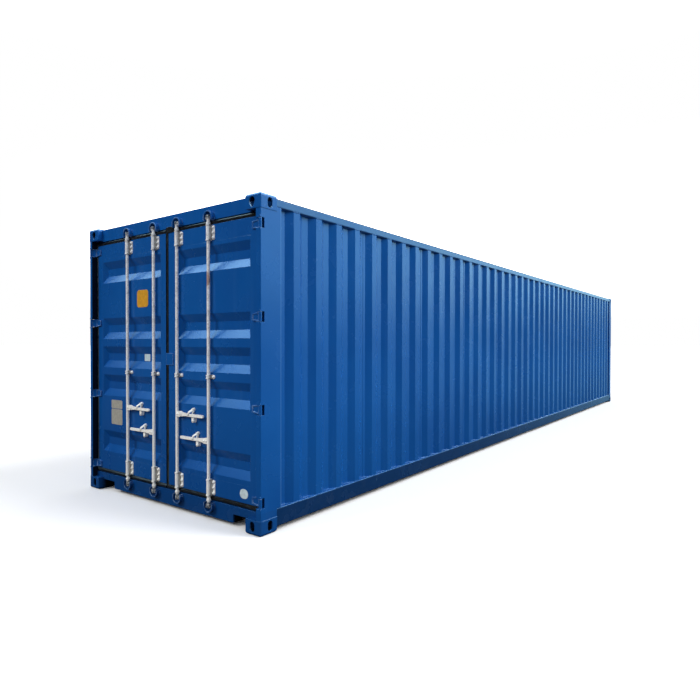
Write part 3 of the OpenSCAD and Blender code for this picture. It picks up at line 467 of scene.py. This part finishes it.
# Which faces of a node look into the hold, and which ones are near black
INTO_HOLD = {
    "right_side_wall": (0, 1, 0), "left_side_wall": (0, -1, 0), "front_wall": (-1, 0, 0),
    "roof_panel": (0, 0, -1), "right_top_rail": (0, 1, 0), "left_top_rail": (0, -1, 0),
    "front_top_rail": (-1, 0, 0), "door_header": (1, 0, 0), "left_door_frame": (1, 0, 0),
}
DARK_REVEALS = {
    "right_rear_post": ((0, 1, 0), "X", POST_DARK_TO), "left_rear_post": ((0, -1, 0), "X", POST_DARK_TO),
    "left_door_frame": ((0, -1, 0), "Y", LEAF_DARK_TO),
}

# What lies open to the sky has gone matt under the weather
MATT = {"roof_panel": 0.15, "right_top_rail": 0.25, "left_top_rail": 0.25, "front_top_rail": 0.25,
        "door_header": 0.25}


def finish_of(name):
    """A node's finish: a coat of its own where it is lined or has a near-black reveal, and else the one for
    its name.
    """
    if name in INTO_HOLD or name in DARK_REVEALS:
        seam = POST_SEAM if name.endswith(("side_wall", "rear_post")) else None
        sheen = RAIL_SHEEN if name.endswith("top_rail") else 0.0
        return paint("coat_" + name, INTO_HOLD.get(name), DARK_REVEALS.get(name), seam, foot_shade=0.12,
                     gloss=MATT.get(name, GLOSS), sheen=sheen)
    return next((finish for ending, finish in FINISHES.items() if name.endswith(ending)), PAINT)


for name, node in nodes.items():
    node.data.materials.clear()
    node.data.materials.append(finish_of(name))


# Pieces: surfaces worked out as whole arrays, in metres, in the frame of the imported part

def vertices_of(name):
    """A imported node's points as an array of three columns."""
    vertices = nodes[name].data.vertices
    points = np.zeros(len(vertices) * 3, np.float32)
    vertices.foreach_get("co", points)
    return points.reshape(-1, 3)


def unit(vectors):
    """Each vector over its own length."""
    return vectors / np.linalg.norm(vectors, axis=-1, keepdims=True)


def grid(rows, ring, closed=False):
    """Quads between neighbouring rings of points; closed also joins the last ring to the first."""
    row = np.arange(rows if closed else rows - 1)[:, None]
    at = np.arange(ring)[None]
    after, beside = (row + 1) % rows, (at + 1) % ring
    quads = [row * ring + at, row * ring + beside, after * ring + beside, after * ring + at]
    return np.stack(np.broadcast_arrays(*quads), -1).reshape(-1, 4).tolist()


def caps(rows, ring):
    """The two end faces of a stack of rings."""
    return [list(range(ring))[::-1], list(range((rows - 1) * ring, rows * ring))]


def flipped(faces):
    """The same faces, looking the other way."""
    return [face[::-1] for face in faces]


def sweep(path, across, up, outline, closed=False):
    """An outline carried along a path: point plus first number times across plus second number times up."""
    rings = path[:, None] + outline[..., :1] * across[:, None] + outline[..., 1:] * up[:, None]
    rows, ring = rings.shape[:2]
    return rings.reshape(-1, 3), grid(rows, ring, closed) + ([] if closed else caps(rows, ring))


def join(shells):
    """One set of points and faces from several, with each face's numbers moved past the points before it."""
    starts = np.cumsum([0] + [len(points) for points, _ in shells])
    faces = [[int(start) + i for i in face] for start, (_, fs) in zip(starts, shells) for face in fs]
    return np.concatenate([points for points, _ in shells]), faces


def copies(points, faces, places):
    """The same small shape at many places: its points plus each place in turn."""
    every = (places[:, None] + points[None]).reshape(-1, 3)
    return every, [[k * len(points) + i for i in face] for k in range(len(places)) for face in faces]


def piece(name, body, finish, shell, crease=35.0, stands_for=()):
    """An object from points and faces, smooth but for edges sharper than crease, riding on a body."""
    mesh = bpy.data.meshes.new(name)
    points, faces = shell
    mesh.from_pydata(points.tolist(), [], faces)
    mesh.polygons.foreach_set("use_smooth", np.ones(len(mesh.polygons), bool))
    mesh.set_sharp_from_angle(angle=math.radians(crease))
    mesh.materials.append(finish)
    made = bpy.data.objects.new(name, mesh)
    scene.collection.objects.link(made)
    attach(made, body)
    if stands_for:
        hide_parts(*stands_for)


def circle(count, radius=1.0):
    """Points round a circle as two columns."""
    turn = np.arange(count) * 2 * np.pi / count
    return radius * np.stack([np.cos(turn), np.sin(turn)], -1)


def superellipse(count, power):
    """A circle squared off: cosine and sine, each to the power 2 over power with its sign kept."""
    turn = circle(count)
    return np.sign(turn) * np.abs(turn) ** (2 / power)


def stacked(levels):
    """Rings one above the other, from pairs of an outline and its height."""
    return np.concatenate([np.column_stack([outline, np.full(len(outline), h)]) for outline, h in levels])


def rounded_box(low, high, radius, arc=5):
    """A rectangle's outline with quarter circles for corners: centre plus radius times cosine and sine."""
    low, high = np.array(low, float), np.array(high, float)
    turn = np.linspace(0, np.pi / 2, arc)[None] + np.arange(4)[:, None] * np.pi / 2
    signs = np.array([[1, 1], [-1, 1], [-1, -1], [1, -1]])
    centres = np.where(signs > 0, high - radius, low + radius)
    return (centres[:, None] + radius * np.stack([np.cos(turn), np.sin(turn)], -1)).reshape(-1, 2)


def tablet(low, high, radius, base, top, bevel):
    """A flat plate with round corners and a bevelled rim, as columns u, v and height."""
    foot = rounded_box(low, high, radius)
    lid = rounded_box(np.add(low, bevel), np.subtract(high, bevel), max(radius - bevel, bevel / 4))
    points = stacked([(foot, base), (foot, top - bevel), (lid, top)])
    return points, grid(3, len(foot)) + caps(3, len(foot))


def on_door(shell, face):
    """Turns u, v, height into y, z and distance out of a face that looks towards -X."""
    points, faces = shell
    u, v, h = points.T
    return np.stack([face - h, u, v], -1), flipped(faces)


# A bolt head's rings as shares of its radius and height: the washer, then the dome from its foot up
STUD_SIDES = 12
WASHER = ((1.35, 0.0), (1.35, 0.2), (1.02, 0.24))
DOME_FOOT = 0.24
DOME_TURN = np.linspace(0.0, 1.35, 4)


def stud(radius, height):
    """A round bolt head on its washer, looking towards -X: the dome's rings follow a quarter ellipse."""
    dome = np.stack([np.cos(DOME_TURN), DOME_FOOT + (1 - DOME_FOOT) * np.sin(DOME_TURN)], -1)
    profile = np.concatenate([WASHER, dome]) * (radius, height)
    ring = circle(STUD_SIDES)
    points = np.concatenate([np.column_stack([np.full(STUD_SIDES, -out), ring * r]) for r, out in profile])
    return points, flipped(grid(len(profile), STUD_SIDES) + caps(len(profile), STUD_SIDES))


# Weld beads of the shell

BEAD_STEP, BEAD_SIDES, BEAD_RIPPLE = 0.009, 6, 0.16
SEAM, SHEET_SEAM, POST_BEAD, ROOF_SEAM = 0.004, 0.002, 0.00248, 0.0028
SHEET_WAVES, ROOF_SHEET_RIBS = 4, 5
POST_CORNER = 0.009
REAR_POST_FACE, FRONT_POST_FACE = 0.044, 0.105
ROOF_SEAM_UP, ROOF_SEAM_IN = 0.002, 0.006
wall_low, wall_high = bounds_of("right_side_wall")
post_low = bounds_of("right_rear_post")[0]
front_post_high = bounds_of("right_front_post")[1]


def spread(points, step):
    """A polyline with points about a step apart: every corner is kept and each stretch is cut evenly."""
    gaps = np.linalg.norm(np.diff(points, axis=0), axis=1)
    cuts = np.maximum(1, np.round(gaps / step)).astype(int)
    stretch = np.repeat(np.arange(len(gaps)), cuts)
    share = (np.arange(cuts.sum()) - np.repeat(np.cumsum(cuts) - cuts, cuts)) / np.repeat(cuts, cuts)
    along = points[stretch] + share[:, None] * np.diff(points, axis=0)[stretch]
    return np.concatenate([along, points[-1:]])


def bead(points, radius, side):
    """A weld bead: a six-sided tube along a polyline, whose radius swells and shrinks from ring to ring."""
    path = spread(np.array(points, float), BEAD_STEP)
    along = unit(np.gradient(path, axis=0))
    across = unit(np.cross(along, np.array(side, float)))
    swell = radius * (1 + BEAD_RIPPLE * np.cos(np.pi * np.arange(len(path))))
    return sweep(path, across, np.cross(across, along), circle(BEAD_SIDES)[None] * swell[:, None, None])


def fold_line(name, z, side):
    """The outer line of a corrugated wall at a height: of the points at each x, the one farthest out."""
    points = vertices_of(name)
    stations, which = np.unique(points[:, 0].round(4), return_inverse=True)
    out = np.full(len(stations), -np.inf)
    np.maximum.at(out, which, points[:, 1] * side)
    return np.column_stack([stations, side * out, np.full(len(stations), z)])


def wall_welds(name, side):
    """Beads along a side wall's foot and head, and upright ones where its sheets meet every fourth wave."""
    heights = (wall_low[2], wall_high[2])
    shells = [bead(fold_line(name, z, side), SEAM, (0, 0, 1)) for z in heights]
    line = fold_line(name, 0.0, side)
    hollow = np.abs(line[:, 1]).min() + 1e-4
    floors = line[np.abs(line[:, 1]) < hollow][:, 0]
    middles = (floors[:-1] + floors[1:])[0::2] / 2
    for x in middles[SHEET_WAVES:-2:SHEET_WAVES]:
        shells.append(bead([[x, side * hollow, z] for z in heights], SHEET_SEAM, (1, 0, 0)))
    return shells


def post_welds(side):
    """Beads where the posts meet the castings: along the side face and round the corner to the end face."""
    rear_casting, front_casting = bounds_of("rear_bottom_fittings")[1], bounds_of("front_bottom_fittings")[0]
    face = side * abs(post_low[1])
    shells = []
    for end, x, inner, width in ((-1, post_low[0], rear_casting[0], REAR_POST_FACE),
                                 (1, front_post_high[0], front_casting[0], FRONT_POST_FACE)):
        for z in (post_low[2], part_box("rear_top_fittings")[0][2]):
            shells.append(bead([
                [inner, face, z], [x - end * POST_CORNER, face, z], [x, face - side * POST_CORNER, z],
                [x, face - side * width, z],
            ], POST_BEAD, (0, 0, 1)))
    return shells


def roof_welds():
    """Beads across the roof where its pressed sheets meet, in the flats between every fifth rib."""
    low, high = bounds_of("roof_panel")
    points = vertices_of("roof_panel")
    crest = np.unique(points[points[:, 2] > high[2] - 1e-3][:, 0].round(3))
    middles = (crest[1:-1:2] + crest[2::2]) / 2
    top, edge = low[2] + ROOF_SEAM_UP, high[1] - ROOF_SEAM_IN
    return [bead([[x, -edge, top], [x, edge, top]], ROOF_SEAM, (0, 0, 1))
            for x in middles[ROOF_SHEET_RIBS - 1::ROOF_SHEET_RIBS]]


for side, sign in SIDES.items():
    shells = wall_welds(side + "_side_wall", sign) + post_welds(sign)
    piece("wall_welds_" + side, "container", SEAM_PAINT, join(shells))
piece("roof_welds", "container", SEAM_PAINT, join(roof_welds()))


# Floor boards

BOARD_LENGTH, BOARD_GAP, BOARD_RIM, BOARD_CORNER = 2.4, 0.003, 0.002, 0.003
SCREW_R, SCREW_TOP_R, SCREW_PROUD, SCREW_SIDES = 0.007, 0.0056, 0.0008, 8
SCREW_PITCH_X, SCREWS_ACROSS = 0.397, 5
SCREW_IN_FLANGE, SCREW_FROM_EDGE, SCREW_FROM_MIDDLE = 0.022, 0.05, 0.06


def floor_boards():
    """Plywood boards in two lanes with their joints staggered, each a plate with a bevelled rim."""
    low, high = bounds_of("floor_deck")
    half_gap = BOARD_GAP / 2
    shells = []
    for sides, start in (((low[1], -half_gap), 0.0), ((half_gap, high[1]), BOARD_LENGTH / 2)):
        cuts = np.arange(low[0] - start, high[0] + BOARD_LENGTH, BOARD_LENGTH)
        ends = np.unique(np.clip(cuts, low[0], high[0]).round(4))
        for a, b in zip(ends[:-1], ends[1:]):
            shells.append(tablet((a + half_gap, sides[0]), (b - half_gap, sides[1]), BOARD_CORNER,
                                 low[2], high[2], BOARD_RIM))
    return join(shells)


def floor_screws():
    """Countersunk screw heads in rows over the cross members: flat discs with a bevelled rim."""
    high = bounds_of("floor_deck")[1]
    first = bounds_of("cross_members")[0][0] + SCREW_IN_FLANGE
    xs = np.arange(first, high[0] - SCREW_FROM_EDGE, SCREW_PITCH_X)
    ys = np.linspace(SCREW_FROM_MIDDLE, high[1] - SCREW_FROM_EDGE, SCREWS_ACROSS)
    ys = np.concatenate([-ys[::-1], ys])
    places = np.stack(np.meshgrid(xs, ys, [high[2]], indexing="ij"), -1).reshape(-1, 3)
    head = stacked([(circle(SCREW_SIDES, SCREW_R), 0.0), (circle(SCREW_SIDES, SCREW_TOP_R), SCREW_PROUD)])
    return copies(head, grid(2, SCREW_SIDES) + caps(2, SCREW_SIDES)[1:], places)


piece("floor_boards", "container", TIMBER, floor_boards(), stands_for=("floor_deck",))
piece("floor_screws", "container", ZINC, floor_screws())


# Door seals

SEAL_POINTS, SEAL_POWER, SEAL_PROUD, SEAL_CREASE = 32, 2 / 0.62, 0.004, 50.0
GROOVE_AT, GROOVE_WIDTH, GROOVE_DEPTH = 0.26, 0.10, 0.14


def seal_outline():
    """A gasket's section: share of its reach outward and depth from its front, a rounded box with a groove.

    The box is a superellipse; the groove is a bell curve that pushes the front face back.
    """
    out, deep = (0.5 + 0.5 * superellipse(SEAL_POINTS, SEAL_POWER)).T
    groove = np.exp(-((out - GROOVE_AT) / GROOVE_WIDTH) ** 2) * np.clip(1 - 2 * deep, 0, 1)
    return np.stack([out, deep + GROOVE_DEPTH * groove], -1)


def seal_ring(side):
    """The gasket round a leaf: the section, stretched by each edge's own reach and mitred at the corners.

    It is closed where the seal reaches past both upright edges of the leaf. Else it leaves out the meeting
    edge.
    """
    leaf_low, leaf_high = bounds_of(side + "_door_frame")
    low, high = bounds_of(side + "_door_seal")
    y, z = [leaf_low[1], leaf_high[1]], [leaf_low[2], leaf_high[2]]
    reach_y, reach_z = [low[1] - y[0], high[1] - y[1]], [low[2] - z[0], high[2] - z[1]]
    closed = min(abs(reach_y[0]), abs(reach_y[1])) > 1e-4
    corners = [(0, 0), (1, 0), (1, 1), (0, 1)] if closed else [(0, 1), (1, 1), (1, 0), (0, 0)]
    front = leaf_low[0] - SEAL_PROUD
    path = np.array([[front, y[i], z[j]] for i, j in corners])
    out = np.array([[0.0, reach_y[i], reach_z[j]] for i, j in corners])
    depth = np.array([[high[0] - front, 0.0, 0.0]]).repeat(4, 0)
    points, faces = sweep(path, out, depth, seal_outline()[None], closed)
    return points, flipped(faces) if closed else faces


for side in SIDES:
    piece(side + "_gasket", side + "_door", RUBBER, seal_ring(side), SEAL_CREASE,
          (side + "_door_seal",))


TONGUE = {"start": 0.010, "end": -0.100, "low": 2.426, "high": 2.476, "thick": 0.0025, "curl": 0.006}
TONGUE_STATIONS, TONGUE_SIDES, TONGUE_ENDS = 25, 20, 6
STRIP_POWER = 2 / 0.6


def seal_tongue():
    """The gasket's loose tongue over the leaves' meeting line: a thin strip whose section is a superellipse.

    Along its length the strip tapers to a round end, and its upper edge curls out of the door with the
    square of the height.
    """
    along = np.linspace(0.0, 1.0, TONGUE_STATIONS)
    y = TONGUE["start"] + along * (TONGUE["end"] - TONGUE["start"])
    tall = (TONGUE["high"] - TONGUE["low"]) / 2
    half = tall * (1 - np.abs(2 * along - 1) ** TONGUE_ENDS) ** 0.5 + 1e-4
    section = superellipse(TONGUE_SIDES, STRIP_POWER)
    up = section[None, :, 0] * half[:, None]
    curl = TONGUE["curl"] * np.clip(up / half.max() * 0.5 + 0.5, 0, 1) ** 2
    out = DOOR_FACE - SEAL_PROUD - curl + section[None, :, 1] * TONGUE["thick"] / 2
    z = (TONGUE["low"] + TONGUE["high"]) / 2 + up
    points = np.stack(np.broadcast_arrays(out, y[:, None], z), -1).reshape(-1, 3)
    return points, grid(TONGUE_STATIONS, TONGUE_SIDES) + caps(TONGUE_STATIONS, TONGUE_SIDES)


piece("seal_tongue", "right_door", RUBBER, seal_tongue(), SEAL_CREASE)


# Fasteners of the lock gear

GUIDE_FLANGE_OUT, GUIDE_FLANGE_T = 0.038, 0.005

# Bolt heads by radius and height, then where the bolts sit on the guides, the hubs and the catches
GUIDE_BOLT, HUB_BOLT = (0.011, 0.012), (0.009, 0.006)
GUIDE_STEPS = {2.358: (0.042, 0.0, -0.042), 1.182: (0.0,), 0.275: (0.045, 0.0, -0.045)}
HUB_REACH = (0.018, 0.046)
CATCH_AT = {"right_inner": -0.203, "right_outer": 0.156, "left_inner": 0.156, "left_outer": -0.203}
CATCH_FRONT = bounds_of("right_handle_catches")[0][0]
CATCH_BOLT = (-0.016, -0.046)

# The hasp: how far behind the end of the part the catch's eye is, and its path, sideways and up from the eye
HASP_WIDTH, HASP_THICK, HASP_SIDES = 0.018, 0.007, 16
EYE_IN = 0.0365
EYE_STOPS = ((0.0, 0.057), (0.0, 0.047))
HANDLE_STOPS = ((0.0225, 0.024), (0.030, 0.008), (0.044, 0.002))
HASP_STATIONS, HASP_EASE = 29, 0.4
HASP_HEAD, HASP_TIP, HASP_TIP_RUN = 0.35, 0.75, 0.3


def bars_on(side):
    """The names of the two bars on a leaf."""
    return [name for name in BAR_AT if name.startswith(side)]


def handle_height(name):
    """The height of a handle's middle."""
    return sum(bounds_of(name + "_handle"))[2] / 2


def guide_bolts(side):
    """Bolt heads on the guides' flanges, in a row up each flange."""
    ys = [BAR_AT[name][1] - GUIDE_FLANGE_OUT for name in bars_on(side)]
    heights = [z + step for z, steps in GUIDE_STEPS.items() for step in steps]
    places = np.array([[DOOR_FACE - GUIDE_FLANGE_T, y, z] for y in ys for z in heights])
    return copies(*stud(*GUIDE_BOLT), places)


def hub_bolts(name):
    """Two bolt heads on the hub of a bar, on the side to which the hub reaches out."""
    x, y, _ = BAR_AT[name]
    low, high = bounds_of(name + "_bar")
    way = 1 if abs(high[1] - y) > abs(low[1] - y) else -1
    places = np.array([[x - BAR_R, y + way * reach, handle_height(name)] for reach in HUB_REACH])
    return copies(*stud(*HUB_BOLT), places)


def hasp(name):
    """The hasp on a handle: a flat bar with round edges that leaves the catch's eye, leans out over the
    handle and lies along it. Its outline is a superellipse, and a cosine eases its path from stop to stop."""
    front = bounds_of(name + "_handle")[0][0] - HASP_THICK / 2
    in_eye = [[END + EYE_IN, *stop] for stop in EYE_STOPS]
    stops = np.array(in_eye + [[front, *stop] for stop in HANDLE_STOPS])
    at = np.linspace(0, len(stops) - 1, HASP_STATIONS)
    whole = np.minimum(at.astype(int), len(stops) - 2)
    share = at - whole
    share = (1 - HASP_EASE) * share + HASP_EASE * (0.5 - 0.5 * np.cos(np.pi * share))
    eye = (0.0, BAR_AT[name][1] + CATCH_AT[name], handle_height(name))
    path = stops[whole] + share[:, None] * (stops[whole + 1] - stops[whole]) + eye
    along = unit(np.gradient(path, axis=0))
    across = unit(np.cross(along, (-1.0, 0.0, 0.0)))
    outline = 0.5 * superellipse(HASP_SIDES, STRIP_POWER) * (HASP_WIDTH, HASP_THICK)
    swell = np.where(at < 1, 1 + HASP_HEAD * np.cos(np.pi / 2 * at), 1.0)
    swell *= np.where(at < HASP_TIP_RUN, HASP_TIP + at, 1.0)
    return sweep(path, across, np.cross(along, across), outline[None] * swell[:, None, None])


def catch_bolts(side):
    """A bolt head on the foot of each handle catch of a leaf."""
    places = np.array([
        [CATCH_FRONT, BAR_AT[name][1] + CATCH_AT[name] + CATCH_BOLT[0], handle_height(name) + CATCH_BOLT[1]]
        for name in bars_on(side)
    ])
    return copies(*stud(*HUB_BOLT), places)


for side in SIDES:
    piece(side + "_guide_bolts", side + "_door", ZINC, guide_bolts(side))
for name in BAR_AT:
    piece(name + "_hub_bolts", name + "_bar", ZINC, hub_bolts(name))
for name in BAR_AT:
    piece(name + "_hasp", name + "_handle", ZINC, hasp(name))
for side in SIDES:
    piece(side + "_catch_bolts", side + "_door", ZINC, catch_bolts(side))


# Plates on the doors, all blank

def plain(name, colour, metallic, rough):
    """A thin plate or film: one tone with faint smudges and scratches."""
    s = Shades(name, Metallic=metallic)
    smudge = s.ramp(s.noise(40.0, 5.0, 0.65), 0.35, 0.7)
    deeper = tuple(c * 0.78 for c in colour[:3]) + (1.0,)
    s.wire(s.mix(smudge, deeper, colour), "Base Color")
    s.wire(s.ramp(s.noise(90.0, 3.0), 0.3, 0.7, rough, rough + 0.15), "Roughness")
    s.wire(s.bump(s.noise(1.0, 4.0, 0.6, s.stretched((500.0, 40.0, 500.0))), 0.0002, 0.3), "Normal")
    return s.material


PLATE_GREY = plain("plate_grey", srgb(176, 170, 158), 0.1, 0.45)
FILM_PALE = plain("film_pale", srgb(206, 222, 226), 0.0, 0.35)
FILM_AMBER = plain("film_amber", srgb(222, 158, 36), 0.0, 0.4)
SHEET_T = 0.002
INNER_FLAT = bounds_of("left_door_panel")[1][0] - SHEET_T
PLATE_T, PLATE_SUNK = 0.0015, 0.0005


def door_plate(name, body, finish, ys, zs, corner, face=DOOR_FACE):
    """A thin plate on a door, from one y and z to another, with round corners and a bevelled rim."""
    shell = tablet((ys[0], zs[0]), (ys[1], zs[1]), corner, -PLATE_SUNK, PLATE_T, PLATE_T / 3)
    piece(name, body, finish, on_door(shell, face))


door_plate("data_plate_low", "left_door", PLATE_GREY, (0.720, 0.908), (0.665, 0.815), 0.014)
door_plate("data_plate_high", "left_door", PLATE_GREY, (0.720, 0.908), (0.820, 0.902), 0.014)
door_plate("small_plate", "left_door", FILM_PALE, (0.312, 0.400), (1.291, 1.356), 0.006, INNER_FLAT)
door_plate("amber_film", "left_door", FILM_AMBER, (0.290, 0.466), (1.790, 1.950), 0.030)
door_plate("round_film", "right_door", FILM_PALE, (-1.028, -0.935), (0.243, 0.319), 0.0379)


# Stage, light and camera

class Backdrop(Wiring):
    """The node tree of the dome or the floor, with what a ray from the camera, a mirror or glass sees."""

    def __init__(self, tree):
        super().__init__(tree)
        self.path = self.node("LightPath").outputs

    def shown(self, lit, seen):
        """The shader lit for rays that carry light, seen for rays from the camera, mirrors and glass."""
        mirrors = self.math("MAXIMUM", self.path["Is Glossy Ray"], self.path["Is Transmission Ray"])
        direct = self.math("MAXIMUM", self.path["Is Camera Ray"], mirrors)
        return self.node("MixShader", {0: direct, 1: lit.outputs[0], 2: seen.outputs[0]}).outputs[0]


WHITE = (1.0, 1.0, 1.0, 1.0)
DOME_TINT = (0.94, 0.97, 1.0, 1.0)
DOME_LOW, DOME_HIGH = 0.30, 1.0

# The mirrored sky: how bright it is, and over which stretches of a direction's Z or X it changes
MIRROR_LOW, MIRROR_HIGH, MIRROR_TOP = 0.015, 7.0, 1.2
MIRROR_RISE, MIRROR_FALL = (0.38, 0.60), (0.80, 0.92)
HORIZON_LOW, HORIZON_GLEAM = 0.45, 3.0
HORIZON_RISE, HORIZON_FALL, HORIZON_ALONG = (0.0, 0.14), (0.25, 0.36), (0.2, 0.6)
HORIZON_TINT, SKY_TINT = (0.50, 0.86, 1.0, 1.0), (0.50, 0.80, 1.0, 1.0)
TINT_TURN = (0.25, 0.42)


def studio_world():
    """A dome that brightens with the square of the height, plain white where the camera sees it.

    Mirrored rays see a cooler sky that is brightest half way up and dark near the horizon, as a studio's
    flags make it, but for a bright band low over the far end of the side wall.
    """
    scene.world = bpy.data.worlds.new("studio")
    scene.world.use_nodes = True
    tree = scene.world.node_tree
    dome = Backdrop(tree)
    camera = dome.path["Is Camera Ray"]
    way = dome.parts(dome.node("TexCoord").outputs["Generated"])
    curve = dome.math("POWER", dome.math("MAXIMUM", way["Z"], 0.0), 2.0)
    lift = dome.node("MapRange", {"Value": curve, "To Min": DOME_LOW, "To Max": DOME_HIGH}).outputs["Result"]
    lit = dome.node("Background", {"Color": DOME_TINT, "Strength": lift})
    high = dome.math("MINIMUM", dome.ramp(way["Z"], *MIRROR_RISE, MIRROR_LOW, MIRROR_HIGH),
                     dome.ramp(way["Z"], *MIRROR_FALL, MIRROR_HIGH, MIRROR_TOP))
    level = dome.math("MINIMUM", dome.ramp(way["Z"], *HORIZON_RISE, HORIZON_LOW, HORIZON_GLEAM),
                      dome.ramp(way["Z"], *HORIZON_FALL, HORIZON_GLEAM, HORIZON_LOW))
    band = dome.times(dome.ramp(way["X"], *HORIZON_ALONG), level)
    strength = dome.math("MAXIMUM", camera, dome.math("MAXIMUM", high, band))
    tint = dome.mix(dome.ramp(way["Z"], *TINT_TURN), HORIZON_TINT, SKY_TINT)
    seen = dome.node("Background", {"Color": dome.mix(camera, tint, WHITE), "Strength": strength})
    tree.links.new(dome.shown(lit, seen), tree.nodes["World Output"].inputs["Surface"])


FLOOR_HALF = 300.0
FLOOR_TONE = (0.12, 0.12, 0.12, 1.0)
FLOOR_SEEN = (0.95, 0.95, 0.95, 1.0)
FLOOR_MIRRORED, FLOOR_FAR = (0.04, 0.04, 0.04, 1.0), (0.20, 0.42, 0.58, 1.0)
FLOOR_TURN = (-8.0, 12.0)


def studio_floor():
    """A wide level floor, a square of four corners: pale with a soft shadow where seen, greyer as a bounce.

    Mirrored rays see it dark near the doors and paler far out beyond the other end.
    """
    mesh = bpy.data.meshes.new("floor")
    corners = np.array([[-1, -1, 0], [1, -1, 0], [1, 1, 0], [-1, 1, 0]], float) * FLOOR_HALF
    mesh.from_pydata(corners.tolist(), [], [[0, 1, 2, 3]])
    floor = bpy.data.objects.new("floor", mesh)
    scene.collection.objects.link(floor)
    material = bpy.data.materials.new("pale_floor")
    material.use_nodes = True
    tree = material.node_tree
    ground = Backdrop(tree)
    lit = ground.node("BsdfDiffuse", {"Color": FLOOR_TONE})
    along = ground.parts(ground.node("NewGeometry").outputs["Position"])["X"]
    mirrored = ground.mix(ground.ramp(along, *FLOOR_TURN), FLOOR_MIRRORED, FLOOR_FAR)
    tone = ground.mix(ground.path["Is Camera Ray"], mirrored, FLOOR_SEEN)
    seen = ground.node("BsdfDiffuse", {"Color": tone})
    tree.links.new(ground.shown(lit, seen), tree.nodes["Material Output"].inputs["Surface"])
    mesh.materials.append(material)


def placed(right, up, back, at):
    """The matrix of a lamp or camera from its own three directions and its place."""
    matrix = np.eye(4)
    matrix[:3, :3] = np.stack([right, up, back], 1)
    matrix[:3, 3] = at
    return Matrix(matrix.tolist())


def lamp(name, at, power, width, mirrored=True):
    """A soft sun at a point, turned so that its own -Z looks at the origin.

    Its width in degrees softens the shadows. One that isn't mirrored leaves no glare on the paint.
    """
    light = bpy.data.lights.new(name, "SUN")
    light.energy = power
    light.angle = math.radians(width)
    thing = bpy.data.objects.new(name, light)
    thing.visible_glossy = mirrored
    scene.collection.objects.link(thing)
    back = unit(np.array(at, float))
    right = unit(np.cross((0, 0, 1), back))
    thing.matrix_world = placed(right, np.cross(back, right), back, at)


def studio_lamps():
    """A broad key from over the far right, and two soft fills before the doors, stronger on the left."""
    lamp("key", (8.0, -13.0, 11.5), 3.0, 40)
    lamp("fill_left", (-7.0, 4.0, 6.0), 1.5, 24, False)
    lamp("fill_right", (-7.0, -4.5, 5.0), 0.45, 40, False)


def photo_camera():
    """The photograph's view: ahead is the heading's cosine and sine, dipped by the pitch and then rolled."""
    heading, pitch, roll = np.radians([CAMERA_HEADING, CAMERA_PITCH, CAMERA_ROLL])
    ahead = np.array([np.cos(heading) * np.cos(pitch), np.sin(heading) * np.cos(pitch), np.sin(pitch)])
    level = np.array([np.sin(heading), -np.cos(heading), 0.0])
    right = np.cos(roll) * level - np.sin(roll) * np.cross(level, ahead)
    camera = bpy.data.objects.new("camera", bpy.data.cameras.new("camera"))
    camera.data.lens = CAMERA_LENS
    camera.data.clip_end = CAMERA_REACH
    scene.collection.objects.link(camera)
    camera.matrix_world = placed(right, np.cross(right, ahead), -ahead, CAMERA_AT)
    scene.camera = camera


scene.view_settings.view_transform = "Standard"
studio_world()
studio_floor()
studio_lamps()
photo_camera()
